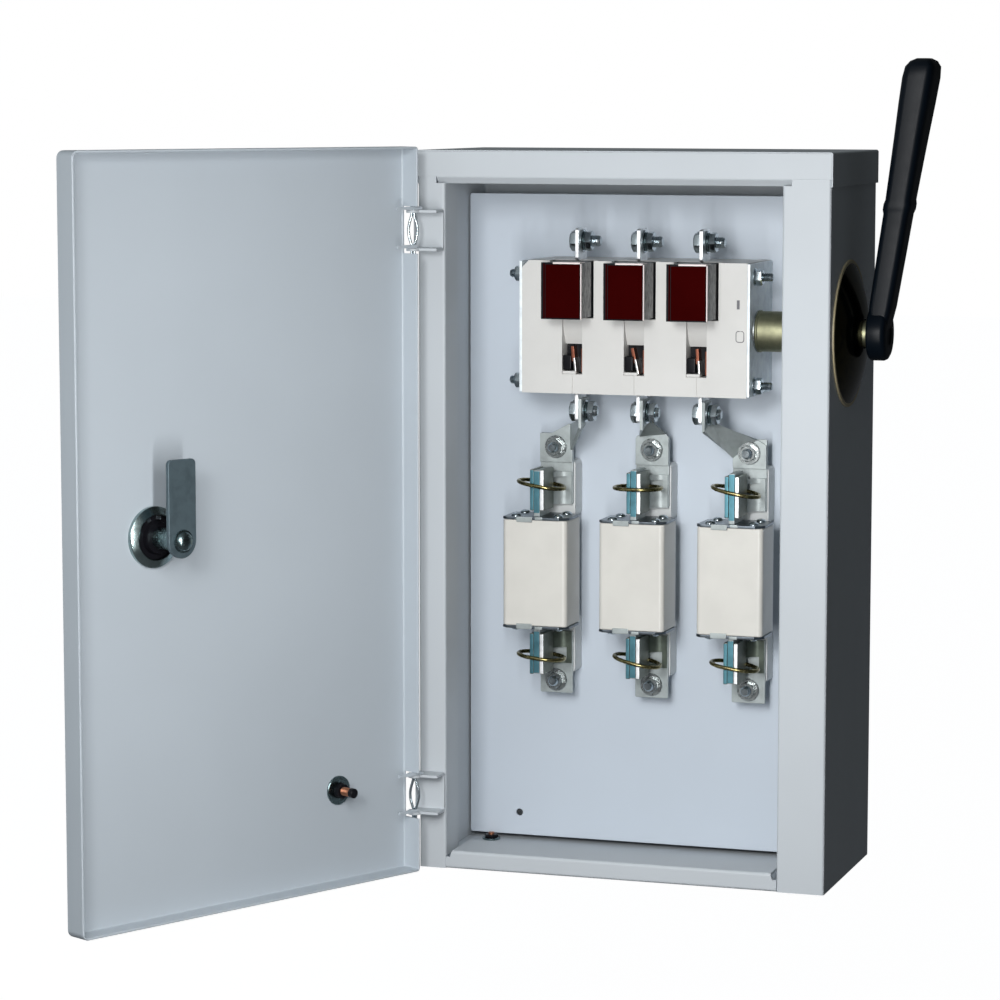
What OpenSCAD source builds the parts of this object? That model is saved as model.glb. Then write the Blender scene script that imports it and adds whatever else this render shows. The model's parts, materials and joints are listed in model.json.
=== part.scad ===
// Wall-mounted switch disconnector box: sheet-steel cabinet with a hinged door, a three-pole
// knife switch turned by a side handle, and three knife-blade fuses below it.
// X runs to the right, the front faces -Y, Z is up. The origin is at the centre of the back
// face, which lies against the wall. The door stands open in the modelled position.

/* [Cabinet] */
// Width over the folded top cap
box_w = 292; // [250:1:360]
// Height of the cabinet
box_h = 500; // [440:1:620]
// Depth from the wall to the front frame
box_d = 140; // [116:1:180]
// Thickness of the steel sheet
sheet_t = 1.5; // [1:0.1:2]
// Thickness of the top cap where it folds over the side walls
cap_t = 1; // [0.8:0.1:1.5]
// How far the top cap folds down over the side walls
cap_fold_h = 23; // [15:1:40]

/* [Front frame] */
// Width of the left frame strip
strip_left = 20.5; // [16:0.5:30]
// Width of the right frame strip
strip_right = 34; // [24:0.5:45]
// Height of the top frame strip
strip_top = 18; // [12:0.5:30]
// Height of the bottom frame strip
strip_bottom = 12.7; // [8:0.1:25]
// Depth of the flanges that turn back from the side strips
flange_depth = 26; // [15:1:35]
// Depth of the sill that turns back from the bottom strip
sill_depth = 38; // [35:1:60]
// Size of the slanted lip below the top strip
lip_size = 4.2; // [3:0.1:6]
// How far the lip and its relief notches run past the opening at each side
lip_overrun = 6; // [3:0.5:9]
// Height of the relief notch below the sill at each lower corner
corner_relief = 4; // [2:0.5:6]

/* [Mounting plate] */
// Thickness of the mounting plate
plate_t = 2; // [1.5:0.1:3]
// Distance from the wall to the front of the mounting plate
plate_front = 38; // [30:1:44]
// Gap between the mounting plate and the side walls
plate_gap = 1.2; // [0.8:0.1:5]
// Gap between the mounting plate and the bottom wall
plate_bottom_gap = 3.2; // [0.8:0.1:8]
// Gap between the mounting plate and the top wall
plate_top_gap = 30.5; // [24:0.5:45]
// Radius of the stand-offs behind the mounting plate
standoff_r = 6; // [4:0.5:8]
// How far the stand-offs lie from the edges of the mounting plate
standoff_inset = 40; // [30:1:60]

/* [Wall fixing] */
// Sideways distance between the wall holes
wall_pitch_x = 210; // [180:1:230]
// Upright distance between the wall holes
wall_pitch_z = 458; // [400:1:466]
// Radius of the wall holes
wall_hole_r = 3.5; // [2.5:0.1:5]
// Radius of the holes in the mounting plate, in line with the lower wall holes
plate_hole_r = 2.5; // [2:0.1:5]

/* [Door] */
// How much narrower the door is than the cabinet
door_less_w = 0.5; // [0:0.5:6]
// How much taller the door is than the cabinet
door_extra_h = 0.5; // [0:0.5:6]
// How far the door is lifted by its hinges
door_lift = 2.25; // [0:0.25:4]
// Opening angle of the door in the modelled position
door_open = 117.5; // [60:0.5:150]
// Depth of the door at its free edge
door_rim_depth = 16.5; // [12:0.5:17]
// Depth of the door's rim at the hinges
hinge_rim_depth = 16; // [12:0.5:16]
// Radius of the door's free corners
door_corner_r = 5; // [3:0.5:8]

/* [Hinges] */
// How far the hinge axis lies in from the left side of the cabinet
hinge_in = 3; // [0:0.5:4]
// How far the hinge axis lies ahead of the front frame
hinge_ahead = 16; // [15:0.5:20]
// Distance from the middle of the cabinet to the middle of each hinge
hinge_z = 195.5; // [120:0.5:205]
// Height of a hinge bracket over its ears
hinge_h = 28; // [22:1:36]
// Thickness of the hinge ears
ear_t = 2; // [1.5:0.1:2.5]
// Radius of the hinge pin where it passes through the ears
pin_r = 2; // [1.5:0.1:2.5]
// Running clearance around the hinge pin
pin_clear = 0.08; // [0.05:0.01:0.1]
// Running gap between the ears of the two brackets
ear_gap = 0.3; // [0.2:0.05:0.5]

/* [Latch] */
// Distance from the free edge of the door to the latch spindle
latch_in = 71.5; // [60:0.5:80]
// Height of the latch spindle above the middle of the cabinet
latch_z = 4; // [-40:1:40]
// Radius of the latch ring inside the door
latch_ring_r = 20; // [16:0.5:22]
// Radius of the latch spindle
spindle_r = 7; // [5:0.5:8]
// Width of the latch cam
cam_w = 22.4; // [16:0.2:26]
// Reach of the latch cam from the spindle axis
cam_reach = 52.5; // [46:0.5:60]
// Thickness of the latch cam
cam_t = 3; // [2:0.5:4]
// Gap between the latch cam and the frame that it hooks behind
cam_gap = 5; // [5:0.5:8]

/* [Switch] */
// Width of the switch body between its side plates
switch_w = 161; // [150:1:180]
// Height of the switch body
switch_h = 92; // [80:1:110]
// Distance from the wall to the front of the switch body
switch_front = 100; // [88:1:112]
// Distance from the top of the cabinet to the top of the switch body
switch_drop = 76; // [66:1:100]
// How far the switch is set to the left of the middle
switch_shift = 2.5; // [0:0.5:6]
// Distance between neighbouring poles of the switch
pole_pitch = 44.5; // [42:0.5:48]
// Size of an arc chute cover across, ahead and upright
chute = [29, 26, 39];
// Size of a contact window across, into the body and upright
window = [14.6, 14, 20.5];
// Thickness of the steel side plates
side_plate_t = 2; // [1.5:0.1:3]
// Thickness of a terminal blade
terminal_t = 2.4; // [2:0.1:3]
// Length of the upper terminal blades above the body
terminal_up = 22; // [16:1:30]
// Length of the lower terminal blades below the body
terminal_down = 20; // [16:1:26]
// Width of a terminal blade from front to back
terminal_d = 20; // [16:1:24]

/* [Drive and handle] */
// Distance from the top of the cabinet to the drive axis
drive_drop = 123; // [110:1:140]
// Distance from the wall to the drive axis
drive_y = 83; // [70:1:92]
// Radius of the drive sleeve
sleeve_r = 14.4; // [12:0.2:16]
// Radius of the drive shaft where it passes through the wall
shaft_r = 9; // [6:0.5:11]
// Running clearance around the drive shaft
shaft_clear = 0.08; // [0.05:0.01:0.1]
// Radius of the round cover on the side wall
rosette_r = 50; // [40:1:54]
// Height of the round cover's dome
rosette_h = 12; // [8:1:12]
// Radius of the handle hub
hub_r = 18; // [15:0.5:20]
// Thickness of the handle hub
hub_t = 13; // [10:0.5:16]
// Length of the lever above the drive axis
lever_len = 186; // [150:1:230]
// How far the tip of the lever leans away from the cabinet
lever_lean = 29; // [20:1:40]

/* [Fuses] */
// Distance between neighbouring fuses
fuse_pitch = 70.5; // [60:0.5:76]
// Sideways place of the middle fuse
fuse_x = -5; // [-15:0.5:10]
// Distance from the top of the cabinet to the middle of the fuses
fuse_drop = 295.5; // [280:0.5:320]
// Size of the ceramic body across, front to back and upright
fuse_body = [47, 34, 75];
// Thickness of the plates on the ends of a fuse
end_plate_t = 2; // [1.5:0.5:4]
// Thickness of a fuse blade
blade_t = 4.5; // [4:0.5:8]
// Width of a fuse blade from front to back
blade_d = 23; // [20:1:26]
// Length over both blades
fuse_len = 145; // [125:1:160]
// Distance from the wall to the middle of the fuses
fuse_y = 78; // [74:1:84]

/* [Fuse contacts] */
// Thickness of a contact prong
prong_t = 2.9; // [1.5:0.1:3]
// Thickness of the foot that carries the prongs
foot_t = 2.5; // [2:0.1:4]
// Width of the contact foot
foot_w = 24; // [22:1:30]
// Length of the contact foot
foot_len = 50; // [44:1:54]
// Distance from the wall to the front of the contact foot
foot_front = 57; // [54:1:60]
// How far each foot is set to the right of its fuse
foot_shift = 4.5; // [0:0.5:5]
// Radius of the wire of the spring rings
ring_wire_r = 1.4; // [1:0.1:1.8]
// Size of an insulating post across and upright
post = [26, 40];
// Thickness of the bus links
link_t = 2; // [1.5:0.1:3]

/* [Screws] */
// Radius of the terminal bolts
bolt_r = 4; // [3:0.5:4]
// Width across the flats of the bolt heads and nuts
bolt_af = 13; // [10:0.5:13]
// Thickness of a bolt head
bolt_head_t = 5.5; // [3:0.5:6]
// Clearance of a bolt in its hole
bolt_clear = 0.2; // [0.1:0.05:0.5]

/* [Hidden] */
$fn = 48;

// A cut reaches this far past the surface that it opens
cut = 1;
// Hexagonal heads and nuts are circles of six sides
hex_sides = 6;

// Cabinet faces
wall_x = box_w / 2 - cap_t;
inner_x = wall_x - sheet_t;
top_z = box_h / 2;
inner_top = top_z - sheet_t;
inner_bottom = sheet_t - top_z;
frame_back = sheet_t - box_d;

// Clear opening of the front frame
open_left = strip_left - box_w / 2;
open_right = box_w / 2 - strip_right;
open_top = top_z - strip_top;
open_bottom = strip_bottom - top_z;

// Hinge axis, and the door's edges measured from it along u (across) and v (towards the box)
pin_x = hinge_in - box_w / 2;
pin_y = -box_d - hinge_ahead;
door_u0 = 3;
door_u1 = door_u0 + box_w - door_less_w;
door_v0 = -7;
door_in = door_v0 + sheet_t;
door_bottom = -(box_h + door_extra_h) / 2 + door_lift;
door_top = (box_h + door_extra_h) / 2 + door_lift;
ear_r = 4.5;
bracket_reach = 17;
door_web_u = 6;
door_web_reach = 18;
// The hinge rim is cut away from here below each hinge to here above it
rim_cut_low = hinge_h / 2 + 1.5;
rim_cut_high = hinge_h / 2 + ear_t + 2 * ear_gap;

// Earthing bolt on the bottom wall, beside the left wall
earth_washer_r = 6.5;
earth_x = -inner_x + 19.5;
earth_y = -plate_front - earth_washer_r - 1;

// Latch
cam_v0 = hinge_ahead + sheet_t + cam_gap;
cam_tail = cam_w / 2;
latch_u = door_u1 - latch_in;
latch_hole_r = latch_ring_r - 6;
latch_clear = 0.1;
cam_x = pin_x + latch_u;
slot_reach = sqrt(max(0, pow(cam_reach, 2) + pow(cam_w / 2, 2) - pow(open_right - cam_x, 2)));
slot_margin = 5;
// Room around the drive sleeve where a deep flange would reach it
sleeve_room = 5;

// Switch faces
switch_x = -switch_shift;
switch_left = switch_x - switch_w / 2;
switch_right = switch_x + switch_w / 2;
switch_top = top_z - switch_drop;
switch_bottom = switch_top - switch_h;
chute_z = switch_top - chute[2];
window_top = switch_top - 58;
terminal_y = switch_front - 20;
upper_bolt_z = switch_top + 13;
lower_bolt_z = switch_bottom - 13.5;
pole_x0 = switch_x + 0.5 - pole_pitch;

// Drive
drive_z = top_z - drive_drop;
hub_x = wall_x + rosette_h + 3;
lever_x = hub_x + hub_t / 2;

// Fuses and contacts
fuse_z = top_z - fuse_drop;
jaw_len = (fuse_len - fuse_body[2]) / 2 - end_plate_t - 2;
blade_front = fuse_y + blade_d / 2;
jaw_front = blade_front - 1;
jaw_back = fuse_y - blade_d / 2;
prong_leg = 7;
foot_bolt = [8.5, 13.5];
foot_end = 9.5;
ring_place = 11.5;
ring_gap = 0.3;

// Screws
head_r = bolt_af / (2 * cos(30));
washer_r = 8;
washer_t = 1.4;
nut_t = 6;
bolt_end = 6;

// A plate between two corners
module slab(low, high) {
    translate(low) cube(high - low);
}

// A cylinder along +X from the given point
module rod_x(at, r, len, sides = 48) {
    translate(at) rotate([0, 90, 0]) cylinder(r = r, h = len, $fn = sides);
}

// A cylinder along -Y, towards the front, from the given point
module rod_front(at, r, len, sides = 48) {
    translate(at) rotate([90, 0, 0]) cylinder(r = r, h = len, $fn = sides);
}

// Puts what is drawn in door coordinates, hinge axis at the origin, onto the open door
module on_door() {
    translate([pin_x, pin_y, 0]) rotate([0, 0, -door_open]) children();
}

module at_wall_holes() {
    for (sx = [-1, 1], sz = [-1, 1]) translate([sx * wall_pitch_x / 2, 0, sz * wall_pitch_z / 2]) children();
}

// ---------------------------------------------------------------- cabinet

module back_wall() {
    color("lightsteelblue") difference() {
        slab([-inner_x, -sheet_t, inner_bottom], [inner_x, 0, inner_top]);
        at_wall_holes() rod_front([0, cut, 0], wall_hole_r, sheet_t + 2 * cut);
    }
}

module left_wall() {
    color("lightsteelblue") slab([-wall_x, frame_back, -top_z], [-inner_x, 0, inner_top]);
}

module right_wall() {
    color("darkslategray") difference() {
        slab([inner_x, frame_back, -top_z], [wall_x, 0, inner_top]);
        rod_x([inner_x - cut, -drive_y, drive_z], shaft_r + shaft_clear, sheet_t + 2 * cut);
    }
}

// Top sheet with its sides folded down over the side walls
module top_cap() {
    color("lightsteelblue") {
        slab([-box_w / 2, -box_d, inner_top], [box_w / 2, 0, top_z]);
        for (s = [-1, 1]) {
            x = s > 0 ? wall_x : -box_w / 2;
            slab([x, -box_d, top_z - cap_fold_h], [x + cap_t, 0, top_z]);
        }
    }
}

module bottom_wall() {
    color("lightsteelblue") difference() {
        slab([-inner_x, frame_back, -top_z], [inner_x, 0, inner_bottom]);
        translate([earth_x, earth_y, -top_z - cut]) cylinder(r = 3 + bolt_clear, h = sheet_t + 2 * cut);
    }
}

// Strip with a flange along the opening, which runs down into the corner relief
module side_frame(outer, edge, s) {
    difference() {
        slab(
            [min(outer, edge), -box_d, -top_z],
            [max(outer, edge), frame_back, open_top]
        );
        translate([edge, -box_d - cut, open_top - lip_size - ear_gap])
            translate([s > 0 ? -lip_overrun - ear_gap : -cut, 0, 0])
                cube([lip_overrun + ear_gap + cut, sheet_t + 2 * cut, lip_size + ear_gap + cut]);
    }
    slab(
        [min(edge, edge - s * sheet_t), -box_d, open_bottom - corner_relief],
        [max(edge, edge - s * sheet_t), flange_depth - box_d, open_top - lip_size - ear_gap]
    );
}

module frame_left() {
    color("lightsteelblue") side_frame(-wall_x, open_left, 1);
}

// The right flange has a slot for the latch cam, and makes room for the drive sleeve
module frame_right() {
    color("lightsteelblue") difference() {
        side_frame(wall_x, open_right, -1);
        slab(
            [open_right - cut, frame_back, latch_z - cam_w / 2 - slot_margin],
            [
                open_right + sheet_t + cut, frame_back + cam_gap + cam_t + slot_margin,
                latch_z + slot_reach + slot_margin
            ]
        );
        rod_x([open_right - cut, -drive_y, drive_z], sleeve_r + sleeve_room, sheet_t + 2 * cut);
    }
}

// Top strip with a lip that slants back below it
module frame_top() {
    color("lightsteelblue") {
        slab([-wall_x, -box_d, open_top], [wall_x, frame_back, inner_top]);
        translate([open_left - lip_overrun, 0, 0]) rotate([90, 0, 90])
            linear_extrude(open_right - open_left + 2 * lip_overrun)
                polygon([
                    [-box_d, open_top + 1], [-box_d, open_top], [lip_size - box_d, open_top - lip_size],
                    [lip_size - box_d + sheet_t, open_top - lip_size], [frame_back, open_top + 1]
                ]);
    }
}

// Bottom strip with the sill, which carries the earth bolt
module frame_bottom() {
    relief = corner_relief + 0.5;
    color("lightsteelblue") difference() {
        union() {
            slab([open_left, -box_d, -top_z], [open_right, frame_back, open_bottom]);
            slab(
                [open_left, -box_d, open_bottom - sheet_t],
                [open_right, sill_depth - box_d, open_bottom]
            );
        }
        for (x = [open_left, open_right]) translate([x, -box_d - cut, open_bottom + cut])
            rotate([-90, 0, 0]) linear_extrude(sill_depth + 2 * cut)
                polygon([
                    [-relief, 0], [relief, 0], [relief - 1.5, relief + cut], [-relief + 1.5, relief + cut]
                ]);
    }
}

module mounting_plate() {
    color("lightsteelblue") difference() {
        slab(
            [plate_gap - inner_x, -plate_front, inner_bottom + plate_bottom_gap],
            [inner_x - plate_gap, plate_t - plate_front, inner_top - plate_top_gap]
        );
        for (s = [-1, 1]) translate([s * wall_pitch_x / 2, cut - plate_front + plate_t, -wall_pitch_z / 2])
            rod_front([0, 0, 0], plate_hole_r, plate_t + 2 * cut);
    }
}

module plate_standoffs() {
    x = inner_x - standoff_inset;
    low = inner_bottom + standoff_inset;
    high = inner_top - plate_top_gap - standoff_inset;
    color("silver") for (sx = [-1, 1], z = [low, high])
        rod_front([sx * x, -sheet_t, z], standoff_r, plate_front - plate_t - sheet_t);
}

// ---------------------------------------------------------------- door

module door_panel() {
    color("lightslategray") on_door() difference() {
        hull() for (z = [door_bottom + door_corner_r, door_top - door_corner_r]) {
            translate([door_u1 - door_corner_r, door_v0, z]) rotate([-90, 0, 0])
                cylinder(r = door_corner_r, h = sheet_t, $fn = 32);
            translate([door_u0, door_v0, z - door_corner_r]) cube([1, sheet_t, 2 * door_corner_r]);
        }
        translate([latch_u, door_v0 - cut, latch_z]) rotate([-90, 0, 0])
            cylinder(r = latch_hole_r + latch_clear, h = sheet_t + 2 * cut);
        translate([66, door_v0 - cut, -184]) rotate([-90, 0, 0])
            cylinder(r = 3 + bolt_clear, h = sheet_t + 2 * cut);
    }
}

// Rims along the top and the bottom of the door
module door_end_rims() {
    color("lightslategray") on_door() for (z = [door_bottom, door_top - sheet_t])
        slab(
            [door_u0 + sheet_t, door_in, z],
            [door_u1 - door_corner_r, door_v0 + hinge_rim_depth, z + sheet_t]
        );
}

// Rims along the free edge and the hinge edge, cut away around the hinges
module door_side_rims() {
    color("lightslategray") on_door() {
        slab(
            [door_u1 - sheet_t, door_in, door_bottom + door_corner_r],
            [door_u1, door_v0 + door_rim_depth, door_top - door_corner_r]
        );
        for (z = [
            [door_bottom, -hinge_z - rim_cut_low],
            [rim_cut_high - hinge_z, hinge_z - rim_cut_low],
            [hinge_z + rim_cut_high, door_top]
        ]) slab([door_u0, door_in, z[0]], [door_u0 + sheet_t, door_v0 + hinge_rim_depth, z[1]]);
    }
}

// ---------------------------------------------------------------- hinges

// An ear around the hinge pin, from a web that lies to one side of it
module ear(z, u1, v0, v1) {
    translate([0, 0, z]) difference() {
        union() {
            cylinder(r = ear_r, h = ear_t);
            translate([-ear_r, 0, 0]) slab([0, min(v0, 0), 0], [u1 + ear_r, max(v1, 0), ear_t]);
        }
        translate([0, 0, -cut]) cylinder(r = pin_r + pin_clear, h = ear_t + 2 * cut);
    }
}

module cabinet_hinge_brackets() {
    color("lightsteelblue") for (s = [-1, 1]) translate([pin_x, pin_y, s * hinge_z]) {
        slab([-ear_r, hinge_ahead - ear_t, -hinge_h / 2], [bracket_reach, hinge_ahead, hinge_h / 2]);
        for (z = [-hinge_h / 2, hinge_h / 2 - ear_t]) ear(z, bracket_reach, 0, hinge_ahead - ear_t / 2);
    }
}

module door_hinge_brackets() {
    lift = ear_t + ear_gap;
    color("lightslategray") on_door() for (s = [-1, 1]) translate([0, 0, s * hinge_z]) {
        slab(
            [door_web_u, door_in, lift - hinge_h / 2],
            [door_web_reach, door_in + ear_t, lift + hinge_h / 2]
        );
        for (z = [lift - hinge_h / 2, lift + hinge_h / 2 - ear_t]) ear(z, door_web_reach, door_in, ear_r);
    }
}

// Split pin: an oval eye at one end, two bowed legs between the ears, and a tail
module cotter() {
    wire_r = 0.9;
    leg_r = 1.1;
    neck = 2 * ear_t + ear_gap;
    bow_h = hinge_h / 2 - neck;
    bow = 3.2;
    arc_r = (pow(bow_h, 2) + pow(bow, 2)) / (2 * bow);
    half_angle = asin(bow_h / arc_r);
    eye_r = 1.8;
    eye_run = 6.5;
    eye_z = hinge_h / 2 + ear_t + ear_gap + wire_r + eye_r;
    tail = 10;
    translate([0, 0, -hinge_h / 2 - 1]) cylinder(r = pin_r, h = neck + 1.6);
    translate([0, 0, bow_h - 0.6]) cylinder(r = pin_r, h = neck + ear_t + 1.6);
    for (s = [0, 180]) rotate([0, 0, s]) translate([bow - arc_r, 0, 0]) rotate([90, 0, 0])
        rotate([0, 0, -half_angle]) rotate_extrude(angle = 2 * half_angle)
            translate([arc_r, 0]) circle(r = leg_r, $fn = 16);
    for (end = [[0, -90], [eye_run, 90]]) translate([0, 0, eye_z + end[0]]) rotate([end[1], 0, 0])
        rotate_extrude(angle = 180) translate([eye_r, 0]) circle(r = wire_r, $fn = 16);
    for (x = [-eye_r, eye_r]) translate([x, 0, eye_z]) cylinder(r = wire_r, h = eye_run, $fn = 16);
    translate([0, 0, -hinge_h / 2]) rotate([0, 6, 0]) translate([0, 0, -tail])
        cylinder(r = wire_r, h = tail, $fn = 16);
}

module hinge_pins() {
    color("darkgray") for (s = [-1, 1]) translate([pin_x, pin_y, s * hinge_z])
        mirror([0, 0, s < 0 ? 1 : 0]) cotter();
}

// ---------------------------------------------------------------- latch

// Round housing clamped in the door, with its ring inside and a flat head outside
module latch_housing() {
    color("dimgray") on_door() translate([latch_u, 0, latch_z]) rotate([-90, 0, 0]) difference() {
        union() {
            translate([0, 0, door_v0 - 3]) cylinder(r = latch_ring_r - 4, h = 3);
            translate([0, 0, door_v0]) cylinder(r = latch_hole_r, h = sheet_t);
            translate([0, 0, door_in]) cylinder(r = latch_ring_r, h = 5);
            translate([0, 0, door_in + 5]) cylinder(r = latch_ring_r - 5, h = 3);
        }
        translate([0, 0, door_v0 - 4]) cylinder(r = spindle_r + shaft_clear, h = 30);
    }
}

// Spindle with its cam, which points up when the latch is open
module latch_cam() {
    color("dimgray") on_door() translate([latch_u, 0, latch_z]) {
        rotate([-90, 0, 0]) translate([0, 0, door_v0 - 3]) cylinder(r = spindle_r, h = cam_v0 - door_v0 + 3);
        hull() for (x = [-1, 1], z = [-cam_tail, cam_reach])
            translate([x * (cam_w / 2 - 3), cam_v0, z - sign(z) * 3]) rotate([-90, 0, 0])
                cylinder(r = 3, h = cam_t, $fn = 24);
    }
}

module latch_bolt() {
    color("silver") on_door() translate([latch_u, cam_v0 + cam_t, latch_z]) rotate([-90, 0, 0]) {
        cylinder(r = 7.5, h = washer_t);
        translate([0, 0, washer_t]) cylinder(r = 5.6, h = 3.2, $fn = hex_sides);
    }
}

// Earthing stud on the inside of the door
module door_earth_stud() {
    color("peru") on_door() translate([66, door_in, -184]) rotate([-90, 0, 0]) {
        cylinder(r = 10, h = 1.6);
        translate([0, 0, 1.6]) cylinder(r = 5.8, h = 4.5, $fn = hex_sides);
        translate([0, 0, 6.1]) cylinder(r = 3, h = 11.5);
        translate([0, 0, -sheet_t]) cylinder(r = 3, h = sheet_t);
    }
}

// Earthing bolt that stands on the bottom wall
module cabinet_earth_bolt() {
    nut = 2.4;
    color("peru") translate([earth_x, earth_y, inner_bottom]) {
        translate([0, 0, -sheet_t]) cylinder(r = 3, h = sheet_t);
        cylinder(r = earth_washer_r, h = washer_t);
        translate([0, 0, washer_t]) cylinder(r = 5.2, h = nut, $fn = hex_sides);
        translate([0, 0, washer_t + nut]) cylinder(r = 3, h = 1.4);
    }
}

// ---------------------------------------------------------------- switch

// Moulded body with a window for each pole and a groove that slopes in towards it
module switch_body() {
    bevel = 5;
    groove = [2, 9];
    color("whitesmoke") difference() {
        translate([0, -plate_front, 0]) rotate([90, 0, 0]) linear_extrude(switch_front - plate_front)
            polygon([
                [switch_left, switch_bottom], [switch_right, switch_bottom], [switch_right, switch_top],
                [switch_left + bevel, switch_top], [switch_left, switch_top - bevel]
            ]);
        for (i = [0:2]) translate([pole_x0 + i * pole_pitch - window[0] / 2, -switch_front, 0]) {
            slab([0, -cut, window_top - window[2]], [window[0], window[1], window_top]);
            rotate([90, 0, 90]) linear_extrude(window[0]) polygon([
                [-cut, chute_z], [groove[0], chute_z], [groove[1], window_top],
                [groove[1], window_top - cut], [-cut, window_top - cut]
            ]);
        }
    }
}

// Cover of one arc chute, standing on the front of the body
module arc_chute(i) {
    x = pole_x0 + i * pole_pitch;
    color("maroon") slab(
        [x - chute[0] / 2, -switch_front - chute[1], chute_z],
        [x + chute[0] / 2, -switch_front, chute_z + chute[2]]
    );
}

module arc_chute_left() {
    arc_chute(0);
}

module arc_chute_middle() {
    arc_chute(1);
}

module arc_chute_right() {
    arc_chute(2);
}

// Contact blades at the back of the windows
module switch_contacts() {
    color("peru") for (i = [0:2]) slab(
        [pole_x0 + i * pole_pitch - 3, window[1] - switch_front - 8, window_top - window[2]],
        [pole_x0 + i * pole_pitch + 3, window[1] - switch_front, window_top]
    );
}

module switch_side_plates() {
    color("silver") for (x = [switch_left - side_plate_t, switch_right])
        slab([x, -switch_front, switch_bottom], [x + side_plate_t, -plate_front, switch_top]);
}

// Threaded ends of the tie rods with a washer and a nut, on the outside of each side plate
module tie_rod_ends() {
    rod_y = switch_front - 12;
    right = switch_right + side_plate_t;
    left = switch_left - side_plate_t;
    color("silver") for (z = [switch_top - 10, switch_bottom + 8]) {
        rod_x([right, -rod_y, z], 6, 1.2);
        rod_x([right + 1.2, -rod_y, z], 5.8, 5, hex_sides);
        rod_x([right + 6.2, -rod_y, z], 3, 7);
        rod_x([left - 1.2, -rod_y, z], 6, 1.2);
        rod_x([left - 6.2, -rod_y, z], 5.8, 5, hex_sides);
        rod_x([left - 10.2, -rod_y, z], 3, 4);
    }
}

// Terminal blade with a bolt hole
module terminal(x, y, z0, z1, bolt_z) {
    difference() {
        slab([x - terminal_t / 2, -y - terminal_d / 2, z0], [x + terminal_t / 2, terminal_d / 2 - y, z1]);
        rod_x([x - terminal_t, -y, bolt_z], bolt_r + bolt_clear, 2 * terminal_t);
    }
}

module upper_terminals() {
    color("silver") for (i = [0:2])
        terminal(pole_x0 + i * pole_pitch, terminal_y, switch_top, switch_top + terminal_up, upper_bolt_z);
}

module lower_terminals() {
    bottom = switch_bottom - terminal_down;
    color("silver") for (i = [0:2])
        terminal(pole_x0 + i * pole_pitch, terminal_y, bottom, switch_bottom, lower_bolt_z);
}

// Bolt along X through a blade: head on the left, washer, nut and thread on the right
module cross_bolt(x, y, z, stack) {
    rod_x([x - terminal_t / 2 - bolt_head_t, -y, z], head_r, bolt_head_t, hex_sides);
    rod_x([x - terminal_t / 2, -y, z], bolt_r, terminal_t + stack);
    rod_x([x + terminal_t / 2 + stack, -y, z], washer_r, washer_t);
    rod_x([x + terminal_t / 2 + stack + washer_t, -y, z], head_r, nut_t, hex_sides);
    rod_x([x + terminal_t / 2 + stack + washer_t + nut_t, -y, z], bolt_r, bolt_end);
}

module terminal_bolts() {
    color("silver") for (i = [0:2]) {
        cross_bolt(pole_x0 + i * pole_pitch, terminal_y, upper_bolt_z, 0);
        cross_bolt(pole_x0 + i * pole_pitch, terminal_y, lower_bolt_z, link_t);
    }
}

// Strip from a lower terminal to a fuse contact: a leg on the terminal and a slanted arm
module bus_link(i) {
    leg_x = pole_x0 + i * pole_pitch + terminal_t / 2;
    foot_x = fuse_x + (i - 1) * fuse_pitch + foot_shift;
    foot_z = contact_bolt_z(1);
    arm_top = switch_bottom - 6;
    half = foot_w / 2;
    lo = min(leg_x, foot_x - half);
    hi = max(leg_x + link_t, foot_x + half);
    difference() {
        union() {
            slab(
                [leg_x, -terminal_y - terminal_d / 2, lower_bolt_z - 10],
                [leg_x + link_t, -foot_front, lower_bolt_z + 9]
            );
            translate([0, -foot_front, 0]) rotate([90, 0, 0]) linear_extrude(link_t) polygon(
                leg_x < foot_x
                    ? [
                        [leg_x, arm_top - 18], [leg_x, arm_top], [leg_x + link_t, arm_top], [hi, foot_z + 11],
                        [hi, foot_z - 9], [foot_x - half, foot_z - 9], [foot_x - half, foot_z + 2]
                    ]
                    : [
                        [lo, foot_z - 9], [lo, foot_z + 11], [leg_x, arm_top], [leg_x + link_t, arm_top],
                        [leg_x + link_t, arm_top - 18], [foot_x + half, foot_z + 2],
                        [foot_x + half, foot_z - 9]
                    ]
            );
        }
        rod_x([leg_x - cut, -terminal_y, lower_bolt_z], bolt_r + bolt_clear, link_t + 2 * cut);
        rod_front([foot_x, cut - foot_front, foot_z], bolt_r + bolt_clear, link_t + 2 * cut);
    }
}

module bus_links() {
    color("silver") for (i = [0:2]) bus_link(i);
}

// ---------------------------------------------------------------- fuses

// Height of the bolt in an upper (s = 1) or a lower (s = -1) contact foot
function contact_bolt_z(s) = fuse_z + s * (fuse_len / 2 + foot_bolt[s > 0 ? 1 : 0]);

// Ceramic body of one fuse, with rounded upright edges
module fuse(i) {
    x = fuse_x + (i - 1) * fuse_pitch;
    edge_r = 3;
    flat = [fuse_body[0] - 2 * edge_r, fuse_body[1] - 2 * edge_r];
    low = fuse_z - fuse_body[2] / 2;
    color("gainsboro") translate([x, -fuse_y, low]) linear_extrude(fuse_body[2]) union() {
        square([fuse_body[0], flat[1]], center = true);
        square([flat[0], fuse_body[1]], center = true);
        for (sx = [-1, 1], sy = [-1, 1])
            translate([sx * flat[0] / 2, sy * flat[1] / 2]) circle(r = edge_r, $fn = 32);
    }
}

module fuse_left() {
    fuse(0);
}

module fuse_middle() {
    fuse(1);
}

module fuse_right() {
    fuse(2);
}

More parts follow.
